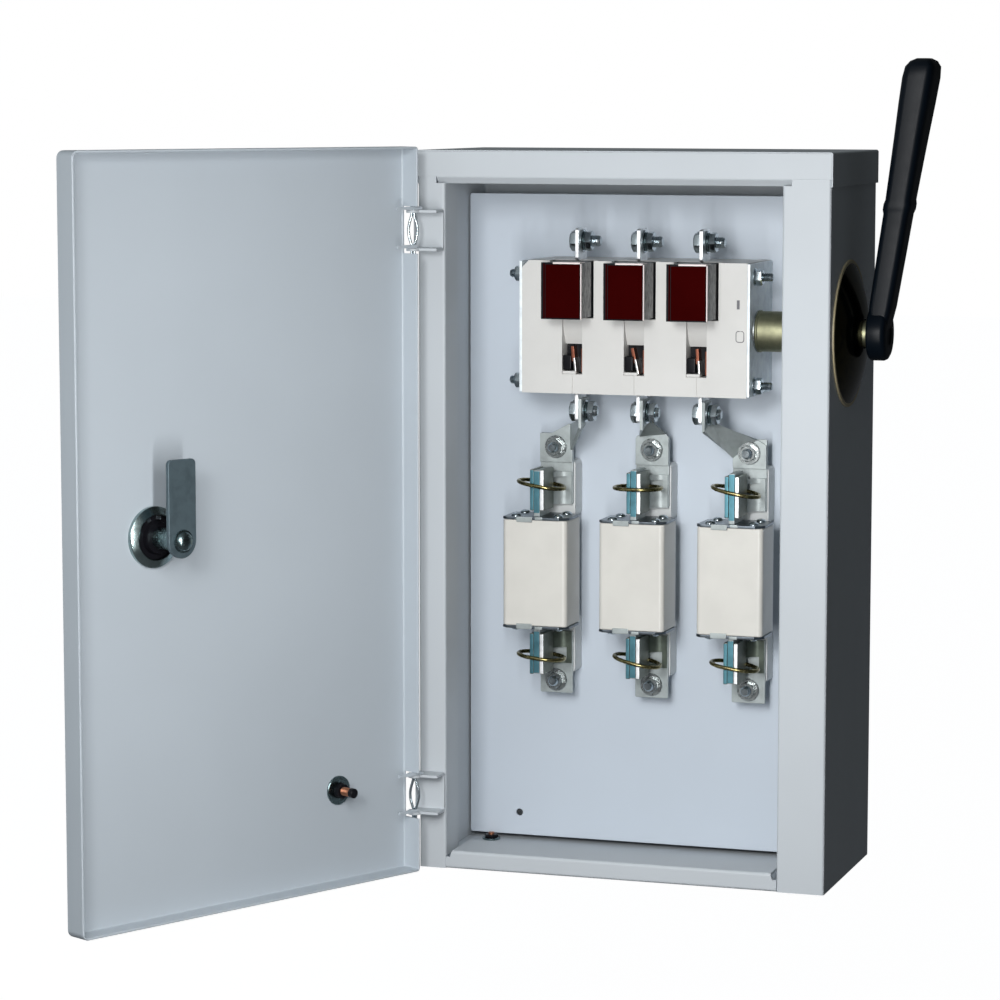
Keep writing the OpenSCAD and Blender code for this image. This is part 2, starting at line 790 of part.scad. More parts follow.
// Steel plates with four domed rivets on both ends of each fuse
module fuse_end_plates() {
    rim = 0.5;
    half = [fuse_body[0] / 2 + rim, fuse_body[1] / 2 + rim];
    z = fuse_body[2] / 2;
    color("dimgray") at_contacts() translate([0, -fuse_y, 0]) {
        slab([-half[0], -half[1], z], [half[0], half[1], z + end_plate_t]);
        for (sx = [-1, 1], sy = [-1, 1])
            translate([sx * fuse_body[0] / 3, sy * fuse_body[1] / 3.4, z + end_plate_t])
                cylinder(r = 3, h = 1.8, $fn = 24);
    }
}

module fuse_blades() {
    color("silver") for (i = [0:2], s = [-1, 1]) translate([fuse_x + (i - 1) * fuse_pitch, -fuse_y, fuse_z])
        mirror([0, 0, s < 0 ? 1 : 0]) slab(
            [-blade_t / 2, -blade_d / 2, fuse_body[2] / 2 + end_plate_t],
            [blade_t / 2, blade_d / 2, fuse_len / 2]
        );
}

// Puts what is drawn from a fuse's middle upwards at each upper and lower contact
module at_contacts() {
    for (i = [0:2], s = [-1, 1]) translate([fuse_x + (i - 1) * fuse_pitch, 0, fuse_z])
        mirror([0, 0, s < 0 ? 1 : 0]) children();
}

// Two prongs that grip each blade, with a leg back to the foot
module contact_prongs() {
    z1 = fuse_len / 2;
    z0 = z1 - jaw_len;
    color("silver") at_contacts() for (x = [-blade_t / 2 - prong_t, blade_t / 2])
        translate([x, 0, 0]) rotate([90, 0, 90]) linear_extrude(prong_t)
            polygon([
                [-jaw_front, z0], [-jaw_back, z0], [-jaw_back, z1 - prong_leg], [-foot_front, z1 - prong_leg],
                [-foot_front, z1], [-jaw_front, z1]
            ]);
}

// Flat foot behind the prongs, bolted to its post
module contact_feet() {
    inner_end = fuse_len / 2 + foot_bolt[1] + foot_end - foot_len;
    color("silver") for (i = [0:2], s = [-1, 1]) {
        x = fuse_x + (i - 1) * fuse_pitch + foot_shift;
        z = [fuse_z + s * inner_end, contact_bolt_z(s) + s * foot_end];
        difference() {
            slab([x - foot_w / 2, -foot_front, min(z)], [x + foot_w / 2, foot_t - foot_front, max(z)]);
            translate([x, cut + foot_t - foot_front, contact_bolt_z(s)])
                rod_front([0, 0, 0], bolt_r + bolt_clear, foot_t + 2 * cut);
        }
    }
}

// Bolts through the feet: the upper ones also clamp the bus links
module contact_bolts() {
    color("silver") for (i = [0:2], s = [-1, 1]) {
        x = fuse_x + (i - 1) * fuse_pitch + foot_shift;
        y = -foot_front - (s > 0 ? link_t : 0);
        z = contact_bolt_z(s);
        rod_front([x, foot_t - foot_front + 3, z], bolt_r, foot_t - foot_front + 3 - y);
        rod_front([x, y, z], washer_r, washer_t);
        rod_front([x, y - washer_t, z], head_r, bolt_head_t, hex_sides);
        rod_front([x, y - washer_t - bolt_head_t, z], bolt_r, 5);
    }
}

// Oval wire ring that presses the prongs together
module spring_rings() {
    bend = blade_d / 2 + ring_gap + ring_wire_r;
    run = 3.4;
    color("goldenrod") at_contacts() translate([0, -fuse_y, fuse_len / 2 - ring_place]) {
        for (s = [0, 180]) rotate([0, 0, s]) translate([run, 0, 0]) rotate([0, 0, -90])
            rotate_extrude(angle = 180) translate([bend, 0]) circle(r = ring_wire_r, $fn = 16);
        for (y = [-bend, bend]) rod_x([-run, y, 0], ring_wire_r, 2 * run, 16);
    }
}

// Insulating posts between the mounting plate and the contact feet
module insulating_posts() {
    inner_end = fuse_len / 2 + 3.5 - post[1];
    color("lightgray") at_contacts() slab(
        [foot_shift - post[0] / 2, foot_t - foot_front, inner_end],
        [foot_shift + post[0] / 2, -plate_front, inner_end + post[1]]
    );
}

// ---------------------------------------------------------------- drive and handle

// Domed cover around the shaft: a slice of a large ball
module rosette() {
    ball_r = (pow(rosette_r, 2) + pow(rosette_h, 2)) / (2 * rosette_h);
    color("darkgoldenrod") translate([wall_x, -drive_y, drive_z]) rotate([0, 90, 0]) difference() {
        intersection() {
            translate([0, 0, rosette_h - ball_r]) sphere(r = ball_r, $fn = 96);
            cylinder(r = rosette_r + 1, h = rosette_h + 1);
        }
        translate([0, 0, -cut]) cylinder(r = shaft_r + 1.5, h = rosette_h + 2 * cut);
    }
}

// Sleeve from the switch to the wall, with the shaft that carries the handle
module drive_sleeve() {
    start = switch_right + side_plate_t + 0.4;
    end = inner_x - 0.5;
    color("darkkhaki") {
        rod_x([start, -drive_y, drive_z], sleeve_r, end - start);
        rod_x([end, -drive_y, drive_z], shaft_r, hub_x - end);
    }
}

// Hub and the leaning lever that widens towards its tip
module handle() {
    color("black") translate([0, -drive_y, drive_z]) {
        rod_x([hub_x, 0, 0], hub_r, hub_t);
        hull() {
            lever_slice(0.03, [hub_t, 24]);
            lever_slice(0.14, [17, 24]);
        }
        hull() {
            lever_slice(0.14, [17, 24]);
            lever_slice(0.5, [18, 26]);
        }
        hull() {
            lever_slice(0.5, [18, 26]);
            lever_slice(0.97, [22, 36]);
        }
    }
}

// Rounded slice of the lever at a share of its length
module lever_slice(share, size) {
    z = share * lever_len;
    x = lever_x + share * lever_lean;
    for (sx = [-1, 1], sy = [-1, 1])
        translate([x + sx * (size[0] / 2 - 4), sy * (size[1] / 2 - 4), z]) sphere(r = 4, $fn = 20);
}

back_wall();
left_wall();
right_wall();
top_cap();
bottom_wall();
frame_left();
frame_right();
frame_top();
frame_bottom();
mounting_plate();
plate_standoffs();
door_panel();
door_end_rims();
door_side_rims();
cabinet_hinge_brackets();
door_hinge_brackets();
hinge_pins();
latch_housing();
latch_cam();
latch_bolt();
door_earth_stud();
cabinet_earth_bolt();
switch_body();
arc_chute_left();
arc_chute_middle();
arc_chute_right();
switch_contacts();
switch_side_plates();
tie_rod_ends();
upper_terminals();
lower_terminals();
terminal_bolts();
bus_links();
fuse_left();
fuse_middle();
fuse_right();
fuse_end_plates();
fuse_blades();
contact_prongs();
contact_feet();
contact_bolts();
spring_rings();
insulating_posts();
rosette();
drive_sleeve();
handle();
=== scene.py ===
"""Looks of a wall-mounted fused switch disconnector box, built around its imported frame.

Every size is in millimetres in the frame's own axes: X to the right, the front faces -Y, Z up.
"""

import json
from math import asin, copysign, cos, pi, radians, sin, sqrt, tan

import bmesh
import bpy
from mathutils import Matrix, Vector


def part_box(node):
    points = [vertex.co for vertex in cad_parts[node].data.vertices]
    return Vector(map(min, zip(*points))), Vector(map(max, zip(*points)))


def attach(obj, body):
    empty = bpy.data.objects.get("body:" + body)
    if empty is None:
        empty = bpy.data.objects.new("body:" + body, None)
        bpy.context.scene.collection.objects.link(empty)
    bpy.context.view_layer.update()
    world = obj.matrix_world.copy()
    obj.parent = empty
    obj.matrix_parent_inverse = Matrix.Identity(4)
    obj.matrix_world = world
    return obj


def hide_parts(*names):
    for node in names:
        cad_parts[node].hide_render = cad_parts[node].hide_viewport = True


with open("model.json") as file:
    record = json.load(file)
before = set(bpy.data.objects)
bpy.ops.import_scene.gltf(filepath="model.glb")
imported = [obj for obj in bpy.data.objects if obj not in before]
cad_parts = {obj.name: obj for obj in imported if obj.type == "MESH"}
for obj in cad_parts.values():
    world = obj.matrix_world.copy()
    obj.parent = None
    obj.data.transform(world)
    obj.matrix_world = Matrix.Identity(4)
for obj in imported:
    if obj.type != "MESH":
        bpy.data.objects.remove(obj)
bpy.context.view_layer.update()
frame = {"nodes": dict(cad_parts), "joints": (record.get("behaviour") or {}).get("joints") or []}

bl_info = {
    "name": "Fused switch disconnector box",
    "version": (1, 0, 0),
    "blender": (4, 5, 0),
    "location": "View3D > Sidebar > Switch box",
    "description": "Builds the looks of a wall-mounted switch disconnector box around its frame",
    "category": "Object",
}

MM = 0.001
NODES = frame["nodes"]


def box_mm(name):
    """Lowest and highest corner of a frame node in millimetres."""
    low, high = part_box(name)
    return low / MM, high / MM


def middle(box):
    """Centre between the two corners of a box."""
    return (box[0] + box[1]) / 2


BOX = {name: box_mm(name) for name in NODES}
JOINT = {joint["name"]: joint for joint in frame["joints"]}
PIN = Vector(JOINT["door_hinge"]["pos_m"]) / MM
DOOR_OPEN = JOINT["door_hinge"]["range_deg"][1]
DOOR = Matrix.Translation(PIN) @ Matrix.Rotation(-radians(DOOR_OPEN), 4, "Z")
LATCH = DOOR.inverted() @ (Vector(JOINT["latch_turn"]["pos_m"]) / MM)
LATCH_U, LATCH_Z = LATCH.x, LATCH.z
# How far the two hinges lie above and below the middle of the door
HINGE_Z = 195.5

# Front of the switch, its poles from left to right, and the width of a contact window
FACE = BOX["switch_side_plates"][0].y
POLES = {name: BOX[f"arc_chute_{name}"] for name in ("left", "middle", "right")}
WINDOW = 14.6
WINDOW_LOW, WINDOW_HIGH = BOX["switch_contacts"][0].z, BOX["switch_contacts"][1].z
DRIVE = tuple(Vector(JOINT["handle_turn"]["pos_m"]).yz / MM)

FUSES = {name: BOX[f"fuse_{name}"] for name in ("left", "middle", "right")}
# Front of the contact feet, and how far their middle lies to the right of the fuse's
FOOT_Y, FOOT_SHIFT = BOX["contact_feet"][0].y, 4.5


# -------------------- finishes


class Nodes:
    """Node tree put together step by step."""

    def __init__(self, tree):
        self.tree = tree

    def add(self, kind, **values):
        node = self.tree.nodes.new(kind)
        for key, value in values.items():
            if key in node.inputs:
                node.inputs[key].default_value = value
            else:
                setattr(node, key, value)
        return node

    def join(self, source, target):
        self.tree.links.new(source, target)

    def spread(self, factor, low, high, start=0.0, end=1.0):
        """A factor from a start to an end, mapped onto a range."""
        node = self.add("ShaderNodeMapRange")
        for key, value in (("From Min", start), ("From Max", end), ("To Min", low), ("To Max", high)):
            node.inputs[key].default_value = value
        self.join(factor, node.inputs["Value"])
        return node.outputs["Result"]

    def camera_ray(self):
        """A factor of 1 where the camera sees a surface itself."""
        return self.add("ShaderNodeLightPath").outputs["Is Camera Ray"]


class Graph(Nodes):
    """Nodes of one procedural finish in the object's own coordinates."""

    def __init__(self, name, metallic=0.0):
        self.material = bpy.data.materials.new(name)
        self.material.use_nodes = True
        super().__init__(self.material.node_tree)
        self.shader = self.tree.nodes["Principled BSDF"]
        self.coords = self.add("ShaderNodeTexCoord").outputs["Object"]
        self.put("Metallic", metallic)

    def put(self, socket, value):
        """Sets a shader socket to a constant."""
        self.shader.inputs[socket].default_value = value

    def stretched(self, scale):
        """Coordinates stretched by a scale for each axis."""
        node = self.add("ShaderNodeMapping")
        node.inputs["Scale"].default_value = scale
        self.join(self.coords, node.inputs["Vector"])
        return node.outputs["Vector"]

    def noise(self, scale, detail=3.0, roughness=0.5, coords=None):
        node = self.add("ShaderNodeTexNoise", Scale=scale, Detail=detail, Roughness=roughness)
        self.join(coords or self.coords, node.inputs["Vector"])
        return node.outputs["Fac"]

    def ramp(self, factor, *stops):
        """Colours at places along a factor from 0 to 1."""
        node = self.add("ShaderNodeValToRGB")
        elements = node.color_ramp.elements
        while len(elements) < len(stops):
            elements.new(0.5)
        for element, (place, colour) in zip(elements, stops):
            element.position = place
            element.color = (*colour, 1.0)
        self.join(factor, node.inputs["Fac"])
        return node.outputs["Color"]

    def bump(self, height, strength, distance, before=None):
        node = self.add("ShaderNodeBump", Strength=strength, Distance=distance)
        self.join(height, node.inputs["Height"])
        if before:
            self.join(before, node.inputs["Normal"])
        self.join(node.outputs["Normal"], self.shader.inputs["Normal"])
        return node.outputs["Normal"]

    def colour(self, source):
        self.join(source, self.shader.inputs["Base Color"])

    def rough(self, source):
        self.join(source, self.shader.inputs["Roughness"])


def shade(colour, factor):
    return tuple(min(1.0, channel * factor) for channel in colour)


def clouds(g, scale, detail, colour, low, high):
    """Faint clouds of a colour, between two factors of its lightness."""
    g.colour(g.ramp(g.noise(scale, detail), (0.3, shade(colour, low)), (0.7, shade(colour, high))))


def paint(name, colour):
    """Powder paint on sheet steel: a fine orange peel and a faint cloudiness."""
    g = Graph(name)
    g.put("Specular IOR Level", 0.35)
    clouds(g, 7.0, 2.0, colour, 0.97, 1.03)
    g.rough(g.spread(g.noise(60.0, 2.0), 0.37, 0.48))
    g.bump(g.noise(900.0, 2.0), 0.05, 0.0002)
    return g.material


def plating(name, colour, rough, metallic=1.0):
    """Plated metal: clouds of one colour's shades or of several colours, and fine scratches."""
    g = Graph(name, metallic=metallic)
    several = isinstance(colour[0], tuple)
    stops = colour if several else (shade(colour, 0.82), colour, shade(colour, 1.12))
    last = len(stops) - 1
    g.colour(g.ramp(g.noise(120.0, 4.0, 0.6), *((0.3 + 0.4 * i / last, c) for i, c in enumerate(stops))))
    g.rough(g.spread(g.noise(300.0, 3.0), rough - 0.08, rough + 0.12))
    fine = g.bump(g.noise(1500.0, 2.0), 0.12, 0.0001)
    g.bump(g.noise(90.0, 2.0), 0.1, 0.0004, fine)
    return g.material


def moulding(name, colour, rough=0.42, speckle=0.03, shine=0.5):
    """Moulded plastic with a fine grain."""
    g = Graph(name)
    g.put("Specular IOR Level", shine)
    clouds(g, 35.0, 3.0, colour, 1 - speckle, 1 + speckle)
    g.rough(g.spread(g.noise(200.0, 2.0), rough - 0.05, rough + 0.07))
    g.bump(g.noise(1200.0, 2.0), 0.08, 0.0001)
    return g.material


def fibre(name, colour):
    """Pressed fibre board with short dark and light flecks."""
    g = Graph(name)
    flecks = g.noise(500.0, 5.0, 0.75, g.stretched((1.0, 1.0, 0.35)))
    g.colour(g.ramp(flecks, (0.32, shade(colour, 0.35)), (0.5, colour), (0.68, shade(colour, 1.5))))
    g.put("Roughness", 0.8)
    g.bump(flecks, 0.5, 0.0005)
    return g.material


def ceramic(name, colour):
    """Glazed ceramic with a soft sheen and faint mottling."""
    g = Graph(name)
    g.put("Coat Weight", 0.35)
    g.put("Coat Roughness", 0.18)
    clouds(g, 45.0, 4.0, colour, 0.96, 1.03)
    g.rough(g.spread(g.noise(150.0, 2.0), 0.36, 0.48))
    g.bump(g.noise(260.0, 3.0), 0.06, 0.0003)
    return g.material


# -------------------- shapes


def arc(radius, start, end, steps, centre=(0.0, 0.0)):
    """Points along an arc between two angles in degrees."""
    turns = (radians(start + (end - start) * i / steps) for i in range(steps + 1))
    return [(centre[0] + radius * cos(a), centre[1] + radius * sin(a)) for a in turns]


def span(one, other):
    """Two numbers in rising order."""
    return min(one, other), max(one, other)


def bent_sheet(path, thickness, radii, steps=5):
    """Closed outline of a sheet that follows a centre line, with a radius for each of its bends."""
    points = [Vector(p) for p in path]
    line = [(points[0], (points[1] - points[0]).normalized())]
    for before, corner, after, radius in zip(points, points[1:], points[2:], radii):
        go_in, go_out = (corner - before).normalized(), (after - corner).normalized()
        turn = go_in.angle_signed(go_out)
        reach = radius * tan(abs(turn) / 2)
        start = corner - go_in * reach
        side = Vector((go_in.y, -go_in.x)) * (1 if turn > 0 else -1)
        centre = start + side * radius
        for i in range(steps + 1):
            spin = Matrix.Rotation(-turn * i / steps, 2)
            line.append((centre + spin @ (start - centre), spin @ go_in))
    line.append((points[-1], (points[-1] - points[-2]).normalized()))
    half = thickness / 2
    left = [p + Vector((-t.y, t.x)) * half for p, t in line]
    right = [p - Vector((-t.y, t.x)) * half for p, t in line]
    return left + right[::-1]


def rounded(low, high, radius, steps=4):
    """Outline of a rectangle with rounded corners."""
    (x0, y0), (x1, y1) = low, high
    x0, y0, x1, y1 = x0 + radius, y0 + radius, x1 - radius, y1 - radius
    outline = []
    for start, centre in ((0, (x1, y1)), (90, (x0, y1)), (180, (x0, y0)), (270, (x1, y0))):
        outline += arc(radius, start, start + 90, steps, centre)
    return outline


def new_object(name, data):
    """An object in the scene's own collection."""
    made = bpy.data.objects.new(name, data)
    bpy.context.scene.collection.objects.link(made)
    return made


AXES = {
    "x": Matrix(((0, 0, 1, 0), (1, 0, 0, 0), (0, 1, 0, 0), (0, 0, 0, 1))),
    "y": Matrix(((0, 1, 0, 0), (0, 0, 1, 0), (1, 0, 0, 0), (0, 0, 0, 1))),
    "z": Matrix.Identity(4),
}


# Angle between two faces from which a bevel takes the edge between them
SHARP_EDGE = radians(30.0)


class Shape:
    """Mesh of one piece, put together from parts in millimetres."""

    def __init__(self, matrix=None):
        self.mesh = bmesh.new()
        self.matrix = matrix or Matrix.Identity(4)

    def _place(self, verts, faces, finish, local=None, at=(0, 0, 0), axis="z", bevel=0.0, steps=2):
        """Adds a part: bevelled first, then turned to its axis and moved to its place."""
        matrix = self.matrix @ (local or Matrix.Identity(4)) @ Matrix.Translation(at) @ AXES[axis]
        part = bmesh.new()
        made = [part.verts.new(v) for v in verts]
        for face in faces:
            part.faces.new([made[i] for i in face])
        bmesh.ops.recalc_face_normals(part, faces=part.faces)
        if bevel:
            edges = [e for e in part.edges if e.calc_face_angle(0.0) > SHARP_EDGE]
            bmesh.ops.bevel(
                part, geom=edges, offset=bevel, offset_type="OFFSET", segments=steps, profile=0.5,
                affect="EDGES", clamp_overlap=True
            )
        for face in part.faces:
            face.material_index = finish
        bmesh.ops.transform(part, matrix=matrix, verts=part.verts)
        if matrix.is_negative:
            bmesh.ops.reverse_faces(part, faces=part.faces)
        self.take(part)

    def take(self, part):
        """Moves a mesh that is still in work into this one."""
        scrap = bpy.data.meshes.new("part")
        part.to_mesh(scrap)
        part.free()
        self.mesh.from_mesh(scrap)
        bpy.data.meshes.remove(scrap)

    def loft(self, rings, finish=0, local=None, closed=False, **place):
        """A skin over rings of points, with a face at both ends or closed into itself."""
        count = len(rings[0])
        verts = [point for ring in rings for point in ring]
        last = len(verts) - count
        faces = [] if closed else [tuple(range(count)), tuple(range(last, len(verts)))]
        for a in range(0, len(verts) if closed else last, count):
            b = (a + count) % len(verts)
            faces += [(a + i, a + (i + 1) % count, b + (i + 1) % count, b + i) for i in range(count)]
        self._place(verts, faces, finish, local, **place)

    def prism(self, outline, low, high, axis="z", finish=0, bevel=0.0, steps=2, local=None):
        """An outline extruded along an axis: (y, z) along x, (z, x) along y, (x, y) along z."""
        rings = [[(*p[:2], h) for p in outline] for h in (low, high)]
        self.loft(rings, finish, local, axis=axis, bevel=bevel, steps=steps)

    def block(self, low, high, bevel=0.4, finish=0, local=None):
        (x0, y0, z0), (x1, y1, z1) = low, high
        corners = ((x0, y0), (x1, y0), (x1, y1), (x0, y1))
        self.prism(corners, z0, z1, "z", finish, bevel, local=local)

    def lathe(self, profile, at, axis="z", steps=32, finish=0, local=None):
        """A profile of (radius, height) turned around an axis through a point."""
        verts, rings = [], []
        for radius, height in profile:
            if radius <= 0:
                rings.append([len(verts)])
                verts.append((0, 0, height))
            else:
                rings.append(list(range(len(verts), len(verts) + steps)))
                verts += [(x, y, height) for x, y in arc(radius, 0, 360, steps)[:-1]]
        faces = []
        for a, b in zip(rings, rings[1:]):
            for i in range(steps):
                j = (i + 1) % steps
                if len(a) == 1:
                    faces.append((a[0], b[i], b[j]))
                elif len(b) == 1:
                    faces.append((a[i], a[j], b[0]))
                else:
                    faces.append((a[i], a[j], b[j], b[i]))
        for ring in (rings[0], rings[-1]):
            if len(ring) > 1:
                faces.append(tuple(ring))
        self._place(verts, faces, finish, local, at, axis)

    def rod(self, radius, low, high, at, axis="z", steps=32, finish=0):
        """A plain cylinder."""
        self.lathe(((0, low), (radius, low), (radius, high), (0, high)), at, axis, steps, finish)

    def hexagon(self, across, low, high, at, axis="z", finish=0, turn=0.0, local=None):
        """A hexagonal head or nut with its corners turned off."""
        corner, turned = across / sqrt(3), 0.86
        chamfer = min(0.9, (high - low) / 4)
        rings = []
        for height, size in ((low, turned), (low + chamfer, 1), (high - chamfer, 1), (high, turned)):
            ring = []
            for i in range(12):
                angle = pi / 6 * i + turn
                reach = min(across / 2 if i % 2 else corner, corner * size)
                ring.append((reach * cos(angle), reach * sin(angle), height))
            rings.append(ring)
        self.loft(rings, finish, local, at=at, axis=axis)

    def thread(self, radius, low, high, at, axis="z", finish=0, local=None):
        """A threaded end with its crests and roots, and a chamfered tip."""
        root, pitch = radius * 0.86, 1.2
        profile = [(0, low), (root, low)]
        height = low
        while height + pitch < high - 0.6:
            profile += [(root, height + 0.1), (radius, height + pitch / 2)]
            height += pitch
        profile += [(root, high - 0.5), (radius * 0.7, high), (0, high)]
        self.lathe(profile, at, axis, 20, finish, local)

    def tube(self, path, radius, finish=0, steps=12, closed=False, local=None):
        """A round wire along a path."""
        points = [Vector(p) for p in path]
        count = len(points)
        angles = [2 * pi * k / steps for k in range(steps)]
        rings = []
        side = None
        for i, point in enumerate(points):
            ahead = points[(i + 1) % count] if closed or i < count - 1 else point
            behind = points[i - 1] if closed or i else point
            tangent = (ahead - behind).normalized()
            if side is None:
                side = tangent.orthogonal().normalized()
            side = (side - tangent * side.dot(tangent)).normalized()
            up = tangent.cross(side)
            rings.append([point + (side * cos(a) + up * sin(a)) * radius for a in angles])
        self.loft(rings, finish, local, closed)

    def ribbon(self, one_edge, other_edge, thickness):
        """A strip between two edges, which may twist."""
        rings = []
        last = len(one_edge) - 1
        for i, (a, b) in enumerate(zip(one_edge, other_edge)):
            ahead = (one_edge[min(i + 1, last)] + other_edge[min(i + 1, last)]) / 2
            behind = (one_edge[max(i - 1, 0)] + other_edge[max(i - 1, 0)]) / 2
            out = (b - a).cross(ahead - behind).normalized() * thickness / 2
            rings.append([a + out, b + out, b - out, a - out])
        self.loft(rings)

    def cut(self, *others):
        """Takes other shapes, which reach a little past its faces, out of this one."""
        scrap = [self.piece("scrap_body")] + [other.piece("scrap_tool") for other in others]
        for tool in scrap[1:]:
            modifier = scrap[0].modifiers.new("cut", "BOOLEAN")
            modifier.object = tool
            modifier.operation = "DIFFERENCE"
            modifier.solver = "EXACT"
        bpy.context.view_layer.update()
        done = scrap[0].evaluated_get(bpy.context.evaluated_depsgraph_get())
        result = bpy.data.meshes.new_from_object(done)
        result.transform(Matrix.Scale(1 / MM, 4))
        self.mesh = bmesh.new()
        self.mesh.from_mesh(result)
        bpy.data.meshes.remove(result)
        for item in scrap:
            bpy.data.objects.remove(item)

    def piece(self, name):
        """A Blender object of the shape so far, in metres."""
        data = bpy.data.meshes.new(name)
        self.mesh.to_mesh(data)
        data.transform(Matrix.Scale(MM, 4))
        return new_object(name, data)

    def finish(self, name, slot, finishes, stands_for, body="cabinet", angle=35.0, edge=0.0):
        """Makes the piece, gives it its finishes, and puts it on its body."""
        made = self.piece(name)
        for item in finishes:
            made.data.materials.append(FINISH[item])
        made.data.polygons.foreach_set("use_smooth", [True] * len(made.data.polygons))
        if edge:
            soften(made, edge)
        else:
            made.data.set_sharp_from_angle(angle=radians(angle))
        made.modifiers.new("even light", "WEIGHTED_NORMAL").keep_sharp = not edge
        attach(made, body)
        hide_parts(*stands_for)
        self.mesh.free()


def washer(shape, radius, low, thick, at, axis, finish=0, local=None):
    """A plain washer, closed in the middle, where its bolt is."""
    chamfer = min(0.35, thick / 3)
    high = low + thick
    shape.lathe((
        (0, low), (radius - chamfer, low), (radius, low + chamfer), (radius, high - chamfer),
        (radius - chamfer, high), (0, high)
    ), at, axis, 36, finish, local)


def soften(made, edge):
    """Rounds the sharp edges of a mesh."""
    made.modifiers.new("join", "WELD").merge_threshold = 0.00001
    bevel = made.modifiers.new("edges", "BEVEL")
    bevel.width = edge * MM
    bevel.segments = 2
    bevel.limit_method = "ANGLE"
    bevel.angle_limit = radians(40)
    bevel.harden_normals = True


# -------------------- settings


def colour_setting(name, description, default):
    return bpy.props.FloatVectorProperty(
        name=name, description=description, default=default, subtype="COLOR", size=3, min=0, max=1
    )


class CabinetSettings(bpy.types.PropertyGroup):
    """Colours of the cabinet's sheets."""

    paint: colour_setting("Paint", "Colour of the cabinet's paint", (0.50, 0.535, 0.565))
    # Lighter, bluer copy of the cabinet paint: painted light for the plate deep inside the box
    plate: colour_setting("Plate", "Colour of the mounting plate", (0.56, 0.62, 0.69))
    # Darker copy of the cabinet paint: painted shade on the door
    door: colour_setting("Door", "Colour of the door's paint", (0.46, 0.51, 0.555))


class SwitchSettings(bpy.types.PropertyGroup):
    """Colours of the switch."""

    housing: colour_setting("Housing", "Colour of the moulded housing", (0.62, 0.615, 0.595))
    chute: colour_setting("Arc chutes", "Colour of the arc chute covers", (0.030, 0.001, 0.001))


class FuseSettings(bpy.types.PropertyGroup):
    """Colours of the fuses."""

    ceramic: colour_setting("Ceramic", "Colour of the glazed bodies", (0.66, 0.645, 0.60))


class HandleSettings(bpy.types.PropertyGroup):
    """Colours of the lever."""

    lever: colour_setting("Lever", "Colour of the lever", (0.002, 0.004, 0.007))


GROUPS = {
    "box_cabinet": CabinetSettings,
    "box_switch": SwitchSettings,
    "box_fuses": FuseSettings,
    "box_handle": HandleSettings,
}

# Materials by their short names, filled by the operator of the finishes
FINISH = {}


# -------------------- stage


def build_surroundings(scene):
    """Soft light that fades from the front left to the back right, and a white background."""
    world = bpy.data.worlds.new("surroundings")
    world.use_nodes = True
    world.node_tree.nodes.clear()
    g = Nodes(world.node_tree)
    bright_side = (-0.78, -0.60, 0.17)
    along = g.add("ShaderNodeVectorMath", operation="DOT_PRODUCT")
    along.inputs[1].default_value = bright_side
    g.join(g.add("ShaderNodeTexCoord").outputs["Generated"], along.inputs[0])
    soft = g.add("ShaderNodeBackground", Color=(0.90, 0.97, 1.0, 1.0))
    g.join(g.spread(along.outputs["Value"], 0.03, 0.42, -0.5, 0.8), soft.inputs["Strength"])
    white = g.add("ShaderNodeBackground", Color=(1.0, 1.0, 1.0, 1.0))
    mix = g.add("ShaderNodeMixShader")
    g.join(g.camera_ray(), mix.inputs["Fac"])
    g.join(soft.outputs["Background"], mix.inputs[1])
    g.join(white.outputs["Background"], mix.inputs[2])
    g.join(mix.outputs["Shader"], g.add("ShaderNodeOutputWorld").inputs["Surface"])
    scene.world = world


def build_floor():
    """Pale floor below the cabinet."""
    g = Graph("floor")
    g.put("Base Color", (0.20, 0.20, 0.21, 1.0))
    g.put("Roughness", 0.9)
    g.put("Specular IOR Level", 0.1)
    g.put("Emission Color", (1.0, 1.0, 1.0, 1.0))
    g.join(g.spread(g.camera_ray(), 0.0, 0.95), g.shader.inputs["Emission Strength"])
    data = bpy.data.meshes.new("floor")
    reach, height = 12.0, -0.62
    corners = ((-reach, -reach), (reach, -reach), (reach, reach), (-reach, reach))
    data.from_pydata([(x, y, height) for x, y in corners], [], [(0, 1, 2, 3)])
    data.materials.append(g.material)
    new_object("floor", data)


# Name, place in metres, width, height and watts
LAMPS = (
    ("key_lamp", (0.12, -2.6, 0.75), 0.40, 0.40, 14.6),
    ("near_lamp", (0.03, -1.10, 0.30), 0.20, 0.50, 2.5),
    ("fill_lamp", (0.125, -0.80, 0.05), 0.04, 0.50, 2.7),
)


def build_camera(scene):
    """Camera that stands where the photo was taken from."""
    camera = bpy.data.cameras.new("camera")
    camera.lens = 124.376
    camera.sensor_width = 36.0
    camera.shift_x = -0.0447
    camera.shift_y = 0.0091
    camera.clip_end = 60.0
    turn, tilt, roll, away = radians(17.81), radians(6.76), radians(0.09), 2.3662
    look = Vector((-sin(turn) * cos(tilt), cos(turn) * cos(tilt), -sin(tilt)))
    target = Vector((-0.05337, -0.140, 0.00573))
    level = look.to_track_quat("-Z", "Y")
    eye = new_object("camera", camera)
    eye.location = target - look * away
    eye.rotation_mode = "QUATERNION"
    eye.rotation_quaternion = level @ Matrix.Rotation(roll, 3, "Z").to_quaternion()
    scene.camera = eye


def build_lamps():
    """Lamps that all point at one place on the box."""
    target = Vector((-0.05, -0.1, 0.0))
    for name, place, width, height, watts in LAMPS:
        lamp = bpy.data.lights.new(name, "AREA")
        lamp.shape = "RECTANGLE"
        lamp.size = width
        lamp.size_y = height
        lamp.energy = watts
        lit = new_object(name, lamp)
        lit.location = place
        lit.visible_camera = False
        lit.rotation_mode = "QUATERNION"
        lit.rotation_quaternion = (target - Vector(place)).to_track_quat("-Z", "Y")


